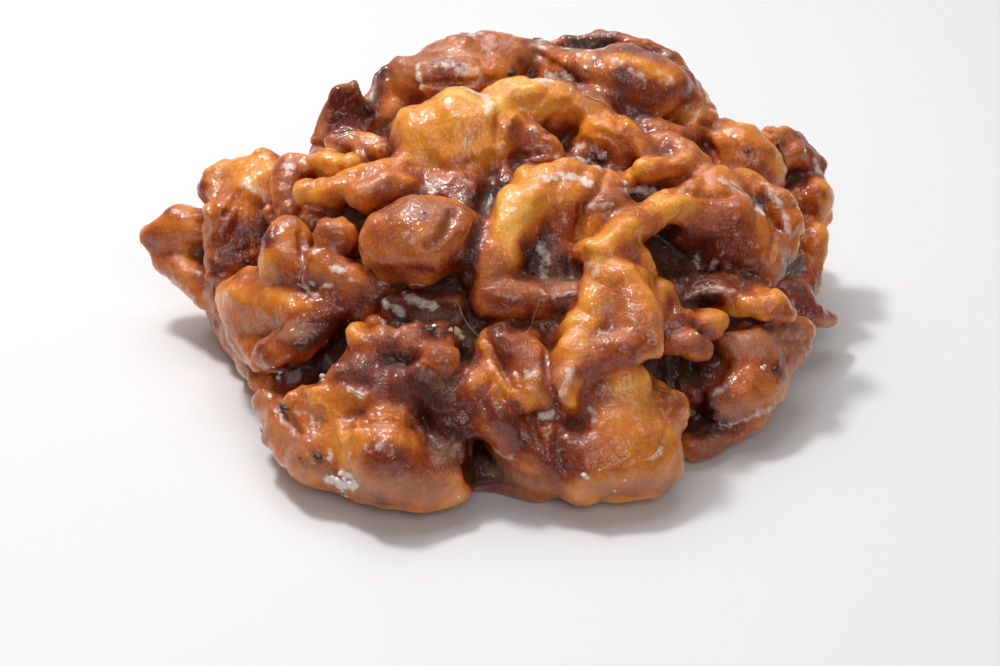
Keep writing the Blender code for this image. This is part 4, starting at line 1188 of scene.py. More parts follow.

# %% [markdown]
# ## Glaze
# Sugar glaze dries in three ways. Where it is thinnest it is a clear wet coat, which the whole crust
# has. A little thicker it is a milky veil; the same layer also carries painted sheen, a pale tint for
# the room and the floor mirrored in the glaze. Where it pooled or ran it sets into white sugar, with a
# grainy surface that sparkles; a few painted glints share that layer. Torn dough is grainy too, and
# burst berries leave dark stains.

# %% Veil and sheen, sugar and glint, grain and stain strokes: amount, half width in millimetres, path
# Painted sheen: these strokes are partly milky glaze and partly painted reflection. The strongest,
# along the low rims that face the floor (left dome, edge; round dome; red lump; front dome, low;
# right mass, low; right underside), paint the white floor mirrored in the glaze.
VEIL_AND_SHEEN_STROKES = {
    "crown": (0.4, 3.6, [(395, 68), (430, 60), (460, 48), (490, 46), (515, 52)]),
    "crown, left band": (0.5, 1.8, [(380, 124), (392, 106), (406, 92)]),
    "ear": (0.45, 1.4, [(335, 84), (355, 84)]),
    "ear, left side": (0.5, 1.3, [(326, 112), (320, 138)]),
    "lumps right of the ear": (0.55, 1.8, [(330, 146), (345, 138), (362, 142)]),
    "dome, top": (0.35, 2.2, [(430, 90), (455, 92), (480, 88)]),
    "back bar": (0.4, 3.2, [(585, 66), (602, 84)]),
    "back bar, left": (0.4, 1.6, [(520, 60), (545, 68)]),
    "shoulder": (0.4, 2.2, [(672, 106), (690, 108), (706, 112)]),
    "tan lump": (0.35, 2.2, [(650, 150), (670, 148), (690, 152)]),
    "knob": (0.3, 2.4, [(735, 160), (760, 168), (770, 180)]),
    "behind the knob": (0.35, 2.6, [(785, 135), (800, 142)]),
    "swirl, top": (0.4, 2.2, [(668, 187), (690, 184)]),
    "swirl, white edge": (0.45, 1.8, [(730, 186), (748, 198), (760, 215)]),
    "swirl, right fold": (0.5, 1.8, [(790, 240), (780, 235), (772, 262), (768, 275)]),
    "chunk, right": (0.35, 2.2, [(600, 190), (620, 195), (605, 212)]),
    "chunk, low": (0.35, 2.8, [(485, 270), (500, 285), (530, 288)]),
    "chunk, inside": (0.4, 2.2, [(548, 278), (565, 285)]),
    "tongue": (0.35, 2.6, [(610, 308), (625, 318)]),
    "tongue, right": (0.5, 1.6, [(652, 318), (658, 345)]),
    "tongue, tip": (0.9, 1.8, [(556, 372), (562, 395)]),
    "arm tip, low": (0.5, 2, [(150, 258), (165, 270), (182, 280)]),
    "arm tip, top": (0.35, 1.4, [(186, 205), (190, 232)]),
    "arm flap": (0.35, 2, [(232, 158), (215, 195)]),
    "arm cone": (0.8, 1.8, [(212, 225), (202, 245), (206, 264)]),
    "mauve wall": (0.4, 2.6, [(288, 195), (292, 215), (300, 225)]),
    "small knob": (0.4, 2.4, [(322, 226), (334, 230)]),
    "grey knob": (0.45, 2.6, [(368, 186), (390, 186)]),
    "potato": (0.42, 4.2, [(400, 205), (430, 203), (450, 215), (432, 225)]),
    "above the potato": (0.4, 1.6, [(405, 190), (430, 192)]),
    "left edge": (0.95, 2.2, [(205, 300), (222, 330), (245, 365)]),
    "horn": (0.8, 2.2, [(285, 332), (300, 330)]),
    "knob row": (0.5, 1.8, [(372, 336), (382, 332), (400, 328)]),
    "left dome, edge": (0.95, 2.6, [(258, 400), (262, 425), (285, 440), (305, 460), (325, 475)]),
    "round dome": (0.95, 4, [(345, 490), (365, 482), (385, 488), (420, 492), (450, 492)]),
    "grey crust": (0.55, 2, [(438, 458), (455, 452)]),
    "red lump": (0.7, 2.6, [(500, 470), (530, 480), (560, 490)]),
    "front dome, low": (0.9, 2.6, [(580, 495), (610, 486), (650, 488), (675, 478)]),
    "right mass": (0.8, 3.6, [(740, 340), (775, 345), (800, 340), (800, 370)]),
    "right mass, low": (0.9, 2.4, [(725, 412), (755, 412), (790, 390)]),
    "right underside": (0.7, 1.8, [(700, 450), (726, 440)]),
}
# Painted glints: some of these strokes are white paint where the wet glaze mirrors the lamps, not
# sugar: dome, vertical streak; golden rim, end; potato, froth; swirl hollow, patch; swirl hollow,
# wing; tongue, tip streak; amber pool, light.
SUGAR_AND_GLINTS = {
    "crown, milk": (0.55, 2.2, [(448, 64), (462, 70), (478, 76)]),
    "crown, upper milk": (0.4, 1.4, [(445, 56), (460, 53), (472, 56)]),
    "crown, right milk": (0.4, 1.2, [(484, 48), (494, 46)]),
    "crown, foot": (0.75, 1.5, [(470, 90), (482, 96), (491, 104), (486, 111)]),
    "dome, vertical streak": (0.6, 0.5, [(468, 128), (468, 141), (466, 152)]),
    "dome, right run": (0.55, 0.7, [(497, 160), (502, 142), (508, 124), (516, 113), (526, 108)]),
    "back bar, patch": (0.8, 1.7, [(539, 81), (552, 78), (566, 79)]),
    "back bar, streak": (0.6, 1.1, [(616, 61), (628, 68), (643, 78)]),
    "golden rim, end": (0.5, 1.2, [(662, 74), (672, 82)]),
    "orange lump, rim": (0.45, 0.7, [(598, 118), (608, 115), (618, 119)]),
    "notch, patch": (0.6, 1.2, [(576, 148), (588, 144), (598, 150), (604, 158)]),
    "notch, dash": (0.5, 0.7, [(532, 129), (541, 136)]),
    "chunk, back run": (0.6, 0.9, [(556, 158), (575, 159), (590, 163), (603, 170)]),
    "chunk, top run": (0.85, 1.1, [(545, 179), (560, 176), (576, 179), (591, 184)]),
    "chunk, left run": (0.4, 1.2, [(522, 192), (538, 186)]),
    "chunk, face specks": (0.6, 0.5, [(509, 222), (508, 212), (518, 208)]),
    "fork, run": (0.7, 0.8, [(583, 213), (588, 208), (600, 206), (612, 205)]),
    "fork, patch": (0.8, 1.2, [(626, 192), (642, 188), (654, 192)]),
    "single drop": (0.8, 0.7, [(625, 182), (628, 184)]),
    "chunk hollow, froth": (0.6, 1.4, [(541, 246), (548, 256), (544, 270)]),
    "fork, froth": (0.5, 1.2, [(586, 264), (597, 266), (594, 276)]),
    "lip, right run": (0.5, 0.8, [(542, 292), (552, 296), (563, 295), (576, 291)]),
    "tongue, run": (0.5, 0.9, [(628, 296), (631, 308), (633, 316)]),
    "tongue, patch": (0.5, 0.8, [(601, 332), (610, 333)]),
    "tongue, tip streak": (0.6, 1, [(572, 372), (566, 385), (561, 396)]),
    "swirl, upper run": (0.6, 1.3, [(722, 180), (738, 190), (752, 200), (762, 214)]),
    "swirl, patch": (0.8, 1.1, [(754, 204), (762, 214)]),
    "swirl, right run": (0.6, 1, [(767, 186), (774, 196), (781, 206), (787, 220), (790, 236)]),
    "swirl, far run": (0.4, 0.9, [(770, 188), (790, 196), (800, 214), (803, 238)]),
    "swirl hollow, patch": (0.55, 0.9, [(696, 255), (697, 266)]),
    "swirl hollow, wing": (0.5, 0.8, [(706, 273), (714, 264), (724, 254)]),
    "arch": (0.55, 1.1, [(686, 298), (698, 292), (710, 289), (722, 291), (732, 294)]),
    "small right knob, rim": (0.4, 0.6, [(782, 293), (792, 302), (798, 312)]),
    "right mass, rim": (0.4, 1, [(800, 370), (794, 384), (786, 397), (770, 407), (755, 415)]),
    "right mass, underside": (0.6, 0.6, [(720, 424), (730, 425), (742, 421), (752, 416)]),
    "glazed knob": (0.55, 1, [(714, 394), (722, 389), (728, 382)]),
    "arm flap, patch": (0.55, 1.5, [(244, 186), (255, 189), (264, 196)]),
    "arm flap, low patch": (0.4, 0.9, [(266, 202), (270, 213)]),
    "left crust, upright": (0.8, 0.8, [(303, 256), (303, 266), (299, 279)]),
    "left crust, run": (0.65, 0.7, [(300, 283), (309, 290), (318, 298)]),
    "small knob, left rim": (0.4, 0.5, [(312, 222), (310, 232), (311, 243)]),
    "left lumps, pale rim": (0.6, 0.6, [(313, 283), (322, 288), (331, 285)]),
    "left lumps, patch": (0.75, 0.9, [(332, 268), (343, 272), (350, 279)]),
    "valley, upper pool": (0.8, 0.9, [(404, 293), (408, 302)]),
    "valley, right pool": (0.85, 1.2, [(412, 296), (421, 303), (433, 306)]),
    "valley, left pool": (0.7, 1.2, [(386, 304), (395, 308), (402, 313)]),
    "slope, dash": (0.85, 0.6, [(348, 388), (356, 393), (364, 397)]),
    "slope, patches": (0.6, 0.9, [(329, 452), (334, 462)]),
    "slope, line": (0.5, 0.9, [(350, 454), (351, 468)]),
    "slope, foot": (0.95, 1.5, [(330, 481), (341, 484), (351, 486)]),
    "slope, foot right": (0.8, 1, [(343, 473), (353, 477), (357, 484)]),
    "edge, froth": (0.8, 0.9, [(344, 496), (351, 503), (360, 508)]),
    "left dome, streak": (0.45, 1.2, [(297, 411), (308, 416), (318, 420)]),
    "round dome, brow": (0.35, 1.4, [(368, 444), (384, 446)]),
    "red lump, low dash": (0.5, 0.6, [(495, 450), (503, 456), (513, 458)]),
    "amber pool, light": (0.7, 1.1, [(541, 416), (552, 412)]),
    "column, froth": (0.45, 1.4, [(526, 378), (535, 372), (531, 386)]),
    "front dome, upper froth": (0.6, 0.9, [(590, 409), (595, 413), (591, 424)]),
    "front dome, curl": (0.8, 0.45, [(645, 460), (652, 458), (658, 453), (662, 446)]),
    "front dome, low drop": (0.6, 0.7, [(585, 476), (589, 478)]),
    "potato, froth": (0.4, 1.2, [(407, 236), (416, 240)]),
    "knob row, patch": (0.3, 1.2, [(370, 336), (380, 333)]),
    "knob row, grey patch": (0.35, 1.4, [(400, 331), (412, 329)]),
}
GRAIN = {
    "chunk hollow": (1, 3.2, [(526, 246), (545, 252), (535, 264), (560, 292)]),
    "fork": (1, 2.6, [(585, 264), (600, 262), (597, 276)]),
    "band": (0.7, 3, [(640, 212), (656, 222), (650, 232)]),
    "swirl hollow": (1, 3, [(658, 262), (672, 262), (700, 260)]),
    "swirl, inner face": (0.8, 2.6, [(700, 212), (720, 215), (695, 232)]),
    "orange ridge": (0.7, 2.4, [(645, 178), (660, 172), (672, 178)]),
    "notch": (0.6, 2.2, [(605, 150), (628, 150), (625, 162)]),
    "potato": (0.6, 3.4, [(385, 235), (412, 240)]),
    "left ridges": (0.8, 2.8, [(320, 205), (350, 205), (355, 222)]),
    "left lumps": (0.7, 3.4, [(320, 270), (345, 275), (365, 290)]),
    "valley": (1, 3.4, [(440, 290), (460, 305), (470, 330), (405, 300)]),
    "red band": (0.8, 3.6, [(350, 365), (368, 376), (385, 392)]),
    "dark valley": (0.9, 3, [(408, 390), (418, 402), (450, 385)]),
    "column": (1, 3, [(525, 345), (530, 365), (528, 382)]),
    "streak": (0.8, 2.2, [(482, 372), (486, 388)]),
    "red lump": (0.8, 2, [(505, 402), (522, 412)]),
    "front dome, top": (0.7, 2.6, [(590, 410), (618, 408)]),
    "tongue": (0.5, 3.2, [(590, 356), (610, 330), (630, 305)]),
    "short bar": (0.9, 2.8, [(668, 342), (700, 345), (730, 335)]),
    "burgundy knob": (0.9, 2.6, [(710, 395), (720, 385), (716, 405)]),
    "honey knob": (0.8, 2, [(708, 315), (722, 318)]),
    "right mass": (0.5, 4, [(745, 340), (780, 350)]),
    "grey crust": (0.8, 3, [(440, 455), (450, 475)]),
    "knob row": (0.5, 2.6, [(370, 340), (400, 332), (435, 348)]),
    "left dome": (0.6, 2.4, [(298, 412), (318, 420)]),
}
STAINS = {
    "knob": (0.8, 0.8, [(747, 148), (750, 151)]),
    "notch": (0.7, 0.8, [(544, 131), (547, 134)]),
    "potato": (0.8, 0.9, [(422, 214), (425, 217)]),
    "potato, right": (0.6, 1.4, [(468, 194), (472, 200)]),
    "knob row": (0.6, 1.6, [(422, 328), (432, 330)]),
    "arm hollow": (0.6, 1.2, [(243, 262), (249, 262)]),
    "tongue tip": (0.7, 0.8, [(555, 401), (561, 405)]),
    "right mass": (0.7, 1.3, [(776, 368), (784, 375)]),
    "left dome": (0.6, 1.2, [(316, 456), (320, 459)]),
    "grey knob": (0.3, 1, [(403, 188), (406, 190)]),
}
print(sum(map(len, (VEIL_AND_SHEEN_STROKES, SUGAR_AND_GLINTS, GRAIN, STAINS))), "strokes of glaze, grain and stains")

# %% [markdown]
# The marks are laid one over the other. First comes the tone of each lump, with painted shade that
# darkens it in creases, dents and valleys; then random marks for the far side; and last the strokes
# that the photograph shows, so that they have the last word. Glaze thick enough to set also lifts the
# crust, and so do the painted glints that share its layer.

# %% Lay the marks on the crust
LUMP_TONE_NOISE = ((13.0, 0.11), (5.0, 0.05), (2.2, 0.04))
LUMP_TONE_SHIFT = 3.0
CREASE_SHADE, CREASE_WIDTH = 0.14, 0.9
DENT_SHADE, DENT_DEEP, DENT_ROUNDS = 0.1, 0.6, 14
VALLEY_SHADE, VALLEY_DEEP, VALLEY_ROUNDS = 0.19, 2.0, 110
HOLLOW_LEAST, HOLLOW_MOST = -1, 1.5
TONE_LEAST = 0.06
TONE_SOFT_ROUNDS = 4
SUGAR_AND_GLINT_THICK = 0.22
SUGAR_AND_GLINT_RAGGED = 1.8

FAR_TONES = (21, 90, (0.1, 0.62), (2.0, 5.5), (3, 14))
FAR_VEILS = (22, 34, (0.4, 1.0), (2.0, 3.5), (3, 12))
FAR_SUGAR = (23, 40, (0.5, 0.95), (0.6, 1.4), (2, 9))
FAR_GRAIN = (24, 22, (0.5, 1.0), (2.0, 3.6), (3, 10))
FAR_STAINS = (25, 7, (0.5, 0.8), (0.8, 1.4), (1, 3))


def hollowness(mesh, places, rounds):
    """How far each corner lies below its evened-out neighbourhood, in millimetres."""
    return ((evened(mesh, places, rounds) - places) * normals_of(mesh)).sum(axis=1)


tone = floats_of(skin, "tone")
gap = floats_of(skin, "gap")
dent = hollowness(skin, places, DENT_ROUNDS) / DENT_DEEP
valley = hollowness(skin, places, VALLEY_ROUNDS) / VALLEY_DEEP
for i, (size, share) in enumerate(LUMP_TONE_NOISE):
    tone += noise_at(places, size, LUMP_TONE_SHIFT * i) * share
# Painted shade: the tone is lowered in creases between lumps, in dents and in valleys, where less light
# reaches.
tone -= CREASE_SHADE * np.exp(-gap / CREASE_WIDTH)
tone -= (DENT_SHADE * np.clip(dent, HOLLOW_LEAST, HOLLOW_MOST)
         + VALLEY_SHADE * np.clip(valley, HOLLOW_LEAST, HOLLOW_MOST))
paint(tone, places, rough, far_marks(crust_tree, *FAR_TONES) + pointed_at(crust_tree, BROWNING_AND_SHADE))
tone = np.clip(averaged(tone, edges_of(skin), TONE_SOFT_ROUNDS), TONE_LEAST, 1)
veil_and_sheen, sugar_and_glint, grain, stain = [
    pile(places, edge, pointed_at(crust_tree, strokes) + far_marks(crust_tree, *far))
    for edge, strokes, far in ((rough, VEIL_AND_SHEEN_STROKES, FAR_VEILS), (rough * SUGAR_AND_GLINT_RAGGED, SUGAR_AND_GLINTS, FAR_SUGAR),
                               (rough, GRAIN, FAR_GRAIN), (rough, STAINS, FAR_STAINS))]
places += normals_of(skin) * (sugar_and_glint * SUGAR_AND_GLINT_THICK)[:, None]
set_corners(skin, places)
marks = {"tone": tone, "veil_and_sheen": veil_and_sheen, "sugar_and_glint": sugar_and_glint, "grain": grain, "stain": stain, "valley": valley}
for name, values in marks.items():
    add_float(skin, name, values)
print("tone from", round(tone.min(), 2), "to", round(tone.max(), 2), "and", round(float(tone.mean()), 2))

# %% [markdown]
# ## Building finishes from nodes
# A finish is a small graph of nodes. The helpers below keep its recipe readable: each makes one node,
# plugs its inputs, and gives back the socket that the next step needs.

# %% Node helpers
class Recipe:
    """One finish, and the nodes that it is made of."""

    GRAIN_LEAST, GRAIN_MOST = 0.25, 0.75

    def __init__(self, name):
        self.material = bpy.data.materials.new(name)
        self.material.use_nodes = True
        self.tree = self.material.node_tree
        self.shader = self.tree.nodes["Principled BSDF"]
        self.place = self.add("TexCoord").outputs["Object"]

    def add(self, kind, inputs=(), **settings):
        """A new node, with its settings and with its inputs set or plugged."""
        made = self.tree.nodes.new("ShaderNode" + kind)
        for name, value in settings.items():
            setattr(made, name, value)
        for key, value in dict(inputs).items():
            self.plug(value, made.inputs[key])
        return made

    def plug(self, value, socket):
        """Links a socket's value, or sets it when it is a plain number or colour."""
        if isinstance(value, bpy.types.NodeSocket):
            self.tree.links.new(value, socket)
        else:
            socket.default_value = value

    def maths(self, operation, first, second=0.0):
        return self.add("Math", {0: first, 1: second}, operation=operation).outputs[0]

    def plus(self, first, second):
        return self.maths("ADD", first, second)

    def less(self, first, second):
        return self.maths("SUBTRACT", first, second)

    def times(self, first, second):
        return self.maths("MULTIPLY", first, second)

    def mark(self, name):
        """A number that was stored on the mesh."""
        return self.add("Attribute", attribute_name=name).outputs["Fac"]

    def speckle(self, size, detail=2.0, stretch=(1, 1, 1)):
        """Noise from about -1 to 1, with grains of that size in millimetres."""
        place = self.add("Mapping", {"Vector": self.place, "Scale": stretch}).outputs[0]
        grains = self.add("TexNoise", {"Vector": place, "Scale": 1 / (size * MM), "Detail": detail})
        return self.add("MapRange", {"Value": grains.outputs["Fac"], "From Min": self.GRAIN_LEAST,
                                     "From Max": self.GRAIN_MOST, "To Min": -1.0, "To Max": 1.0},
                        clamp=False).outputs[0]

    def step(self, value, low, high):
        """0 below low, 1 above high, and smooth between."""
        return self.add("MapRange", {"Value": value, "From Min": low, "From Max": high},
                        interpolation_type="SMOOTHSTEP").outputs[0]

    def blend(self, share, first, second):
        """A mix of two colours."""
        mix = self.add("Mix", data_type="RGBA")
        for value, socket in ((share, mix.inputs[0]), (first, mix.inputs[6]), (second, mix.inputs[7])):
            self.plug(value, socket)
        return mix.outputs[2]

    def ramp(self, value, stops):
        """A colour from a row of stops, each (place, colour)."""
        made = self.add("ValToRGB", {"Fac": value})
        elements = made.color_ramp.elements
        while len(elements) < len(stops):
            elements.new(0.5)
        for element, (place, colour) in zip(elements, stops):
            element.position = place
            element.color = (*colour, 1)
        return made.outputs["Color"]

    def bump(self, height, depth, below=None):
        """Fine relief; height from 0 to 1 stands for depth in millimetres."""
        inputs = {"Height": height, "Distance": depth * MM, "Strength": 1.0}
        if below is not None:
            inputs["Normal"] = below
        return self.add("Bump", inputs).outputs["Normal"]

    def finish(self, **sockets):
        """Sets or plugs the shader's sockets, with _ for the spaces in their names."""
        for name, value in sockets.items():
            self.plug(value, self.shader.inputs[name.replace("_", " ")])
        return self.material


# %% [markdown]
# ## The fried crust
# The palette runs from black over mahogany and orange to pale yellow; the tone that picks from it also
# carries painted shade, dark in creases, hollows and under overhangs. Over it lies the veil of thin
# glaze, together with a painted sheen: paler on upward faces and along the low rims, where it stands
# for the bright room and the floor mirrored in the glaze. Then come the stains of the berries and the
# white sugar where it pooled, with a few painted glints among it. Every layer asks the marks on the
# crust how much of it there is, and a little noise makes its edge ragged. A flat colour over the whole
# crust would be quicker, and would look like clay.

# %% Crust colours
PALETTE = [(0.0, (0.02, 0.004, 0.002)), (0.18, (0.085, 0.009, 0.002)), (0.34, (0.225, 0.025, 0.003)),
           (0.48, (0.39, 0.074, 0.005)), (0.62, (0.59, 0.15, 0.010)), (0.8, (0.79, 0.27, 0.018)),
           (1.0, (0.9, 0.48, 0.08))]
VEIL_AND_SHEEN_COLOUR = (0.64, 0.34, 0.17, 1)
SUGAR_AND_GLINT_COLOUR = (0.93, 0.83, 0.76, 1)
STAIN_COLOUR = (0.025, 0.014, 0.018, 1)

SHADE_SPECKLES = ((2.4, 0.05), (0.6, 0.05))
VEIN_SIZE, VEIN_DETAIL = 8.0, 3.0
VEIN_WIDTH, VEIN_SHARE = 0.3, 0.05
SHEEN_ON_TOPS = 0.35
VEIL_AND_SHEEN_SIZE, VEIL_AND_SHEEN_DETAIL, VEIL_AND_SHEEN_RAGGED = 3.0, 3.0, 0.14
VEIL_AND_SHEEN_FULL, VEIL_AND_SHEEN_SHARE = 1.2, 0.32
STAIN_SHARE = 0.8
SUGAR_AND_GLINT_SIZE, SUGAR_AND_GLINT_DETAIL, SUGAR_AND_GLINT_EDGE = 1.7, 2.6, 0.45
SUGAR_AND_GLINT_FROM, SUGAR_AND_GLINT_FULL, SUGAR_AND_GLINT_SHARE = 0.2, 1.1, 0.85

crust_look = Recipe("fried_crust")
speckle, step, blend = crust_look.speckle, crust_look.step, crust_look.blend
plus, less, times = crust_look.plus, crust_look.less, crust_look.times

# The stored tone is browning together with painted shade, dark in creases, hollows and under overhangs.
browning_and_shade = crust_look.mark("tone")
for size, share in SHADE_SPECKLES:
    browning_and_shade = plus(browning_and_shade, times(speckle(size), share))
veins = crust_look.maths("ABSOLUTE", speckle(VEIN_SIZE, VEIN_DETAIL))
veins = less(1.0, step(veins, 0.0, VEIN_WIDTH))
browning_and_shade = less(browning_and_shade, times(veins, VEIN_SHARE))
colour = crust_look.ramp(browning_and_shade, PALETTE)

up = crust_look.add("SeparateXYZ", {0: crust_look.add("NewGeometry").outputs["Normal"]}).outputs["Z"]
# Painted sheen: upward faces get more of the pale tint, standing for the bright room mirrored in the glaze.
veil_and_sheen_here = plus(times(step(up, 0.0, 1.0), SHEEN_ON_TOPS), crust_look.mark("veil_and_sheen"))
veil_and_sheen_here = plus(veil_and_sheen_here, times(speckle(VEIL_AND_SHEEN_SIZE, VEIL_AND_SHEEN_DETAIL), VEIL_AND_SHEEN_RAGGED))
colour = blend(times(step(veil_and_sheen_here, 0.0, VEIL_AND_SHEEN_FULL), VEIL_AND_SHEEN_SHARE), colour, VEIL_AND_SHEEN_COLOUR)

colour = blend(times(crust_look.mark("stain"), STAIN_SHARE), colour, STAIN_COLOUR)
sugar_and_glint_here = plus(crust_look.mark("sugar_and_glint"), times(speckle(SUGAR_AND_GLINT_SIZE, SUGAR_AND_GLINT_DETAIL), SUGAR_AND_GLINT_EDGE))
sugar_and_glint_here = step(sugar_and_glint_here, SUGAR_AND_GLINT_FROM, SUGAR_AND_GLINT_FULL)
colour = blend(times(sugar_and_glint_here, SUGAR_AND_GLINT_SHARE), colour, SUGAR_AND_GLINT_COLOUR)
print(len(crust_look.tree.nodes), "nodes so far")

# %% [markdown]
# ## Sparkle and gloss
# Fried dough is rough under its glaze, and the glaze itself dried in ripples. So there are two reliefs:
# fine bumps for the dough, and on top of them slow runs for the clear coat, which break each
# reflection into sparkles. Sugar and torn dough are grainy, and there white flecks are painted in as
# sparkle, standing for tiny glints. In deep valleys there is less of the coat, as painted shade on the
# reflections that a hollow would hide; where the tone is darkest, in burnt crust and in painted shade
# alike, there is less coat too, so those places stay duller.

# %% Crust relief and finish
GRAINS = ((2.2, 0.06), (0.6, 0.022))
PATCH_SIZE, PATCH_FROM, PATCH_SHARE = 7.0, -0.2, 0.55
GRIT_SIZE, GRIT_DETAIL, GRIT_DEPTH = 0.42, 2.5, 0.09
RUN_SIZE, RUN_DEPTH, RUN_STRETCH = 1.3, 0.11, (1, 1, 0.3)
SPARKLE_FLECK_SIZE, SPARKLE_FLECK_DETAIL, SPARKLE_FLECK_FADE = 0.5, 1.0, 0.25
SPARKLE_FLECK_RARE, SPARKLE_FLECK_GAIN, SPARKLE_FLECK_SHARE = 1.2, 0.45, 0.2
DEEP_FROM, DEEP_FULL = 0.3, 1.6
BURNT_BELOW, BURNT_FADE = 0.05, 0.3
DULL_SHARE = 0.5

patchy = times(step(speckle(PATCH_SIZE), PATCH_FROM, 1.0), PATCH_SHARE)
grainy = crust_look.maths("MAXIMUM", crust_look.mark("grain"), patchy)
grainy = crust_look.maths("MAXIMUM", grainy, sugar_and_glint_here)
relief = None
for size, depth in GRAINS:
    relief = crust_look.bump(speckle(size), depth, relief)
relief = crust_look.bump(times(speckle(GRIT_SIZE, GRIT_DETAIL), grainy), GRIT_DEPTH, relief)
wet_relief = crust_look.bump(speckle(RUN_SIZE, stretch=RUN_STRETCH), RUN_DEPTH, relief)

# Painted sparkle: white flecks where the crust is grainy stand for the glints of its glaze.
sparkle_fleck_level = less(SPARKLE_FLECK_RARE, times(grainy, SPARKLE_FLECK_GAIN))
sparkle_flecks = step(less(speckle(SPARKLE_FLECK_SIZE, SPARKLE_FLECK_DETAIL), sparkle_fleck_level), 0.0, SPARKLE_FLECK_FADE)
colour = blend(times(sparkle_flecks, SPARKLE_FLECK_SHARE), colour, SUGAR_AND_GLINT_COLOUR)

# Less coat in deep valleys stands for the shade that a valley throws on its own reflections; the darkest
# tones, burnt crust and painted shade, get less coat as well.
deep = step(crust_look.mark("valley"), DEEP_FROM, DEEP_FULL)
burnt = less(1.0, step(browning_and_shade, BURNT_BELOW, BURNT_FADE))
coat_here = less(1.0, times(crust_look.maths("MAXIMUM", deep, burnt), DULL_SHARE))
crust_look.finish(Base_Color=colour, Roughness=0.45, Specular_IOR_Level=0.15, Subsurface_Weight=0.22,
                  Subsurface_Radius=(1.0, 0.35, 0.1), Subsurface_Scale=2.5 * MM, Coat_Weight=coat_here,
                  Coat_Roughness=0.06, Coat_IOR=1.5, Normal=relief, Coat_Normal=wet_relief)
crust.data.materials.clear()
crust.data.materials.append(crust_look.material)
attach(crust, "root")
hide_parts("fritter")
print("crust finish of", len(crust_look.tree.nodes), "nodes")

# %% [markdown]
# ## Threads of glaze, crumbs and berry bits
# Three kinds of small things lie on the crust: threads where the glaze was pulled over a gap, crumbs
# of set sugar and of dough, and bits of blueberry skin, blue-black and wet. Each kind is one joined
# mesh of true size, partly sunk into the crust. Particles or instances would be lost when the fritter
# is exported, and drawn dots would not catch the light.

# %% Helpers for small pieces
CRUMB_DETAIL = 2
CRUMB_BUMPS = ((0.9, 0.55), (0.45, 0.35))
CRUMB_SHIFTS = (0, 99)
CRUMB_WIDTHS, CRUMB_HEIGHTS = (0.7, 1.2), (0.7, 1.0)
SUNK = 0.35
RING_SIDES = 8
THREAD_END = 0.12
THREAD_SWELLS = (0.7, 1.25)


def joined(name, parts):
    """One object from a list of (corners in millimetres, triangles)."""
    starts = np.cumsum([0] + [len(corners) for corners, _ in parts[:-1]])
    corners = np.concatenate([corners for corners, _ in parts])
    triangles = np.concatenate([triangles + start for (_, triangles), start in zip(parts, starts)])
    thing = link(bpy.data.objects.new(name, mesh_of(name, corners * MM, triangles)))
    thing.data.shade_smooth()
    return thing


def crumb(place, size, draw, squash=1.0):
    """A rough little lump, partly sunk into the crust under its spot."""
    corners, triangles = ball(CRUMB_DETAIL)
    shift = draw.uniform(*CRUMB_SHIFTS)
    bumps = 1
    for bump_size, depth in CRUMB_BUMPS:
        bumps = bumps + depth * noise_at(corners, bump_size, shift)
    stretch = np.array([draw.uniform(*CRUMB_WIDTHS), draw.uniform(*CRUMB_WIDTHS),
                        squash * draw.uniform(*CRUMB_HEIGHTS)])
    inward = np.array(AIM) - place
    place = place + inward / np.linalg.norm(inward) * size * SUNK
    return corners * bumps[:, None] * stretch * size + place, triangles


def thread_ring(spots, width, height):
    """The ring of offsets round each spot, for a string that lies flat on the crust."""
    along = np.gradient(spots, axis=0)
    along /= np.maximum(np.linalg.norm(along, axis=1), 1e-6)[:, None]
    outward = spots - np.array(AIM)
    outward -= (outward * along).sum(axis=1)[:, None] * along
    outward /= np.linalg.norm(outward, axis=1)[:, None]
    across = np.cross(along, outward)
    turns = np.arange(RING_SIDES) * 2 * math.pi / RING_SIDES
    sideways = across[:, None] * (np.cos(turns) * width)[None, :, None]
    return sideways + outward[:, None] * (np.sin(turns) * height)[None, :, None]


def thread(spots, width, height, draw):
    """A flattened string laid over a row of spots, thin at its ends."""
    count = len(spots)
    swell = np.sin(np.linspace(THREAD_END, math.pi - THREAD_END, count)) ** 0.5
    swell *= np.array([draw.uniform(*THREAD_SWELLS) for _ in range(count)])
    corners = (spots[:, None] + thread_ring(spots, width, height) * swell[:, None, None]).reshape(-1, 3)
    corners = np.vstack([corners, spots[:1], spots[-1:]])
    triangles = []
    for i in range(count - 1):
        for j in range(RING_SIDES):
            a, b = i * RING_SIDES + j, i * RING_SIDES + (j + 1) % RING_SIDES
            triangles += [(a, b, b + RING_SIDES), (a, b + RING_SIDES, a + RING_SIDES)]
    last = (count - 1) * RING_SIDES
    for j in range(RING_SIDES):
        k = (j + 1) % RING_SIDES
        triangles += [(len(corners) - 2, k, j), (len(corners) - 1, last + j, last + k)]
    return corners, np.array(triangles)


def wear(thing, look):
    thing.data.materials.clear()
    thing.data.materials.append(look)
    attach(thing, "root")


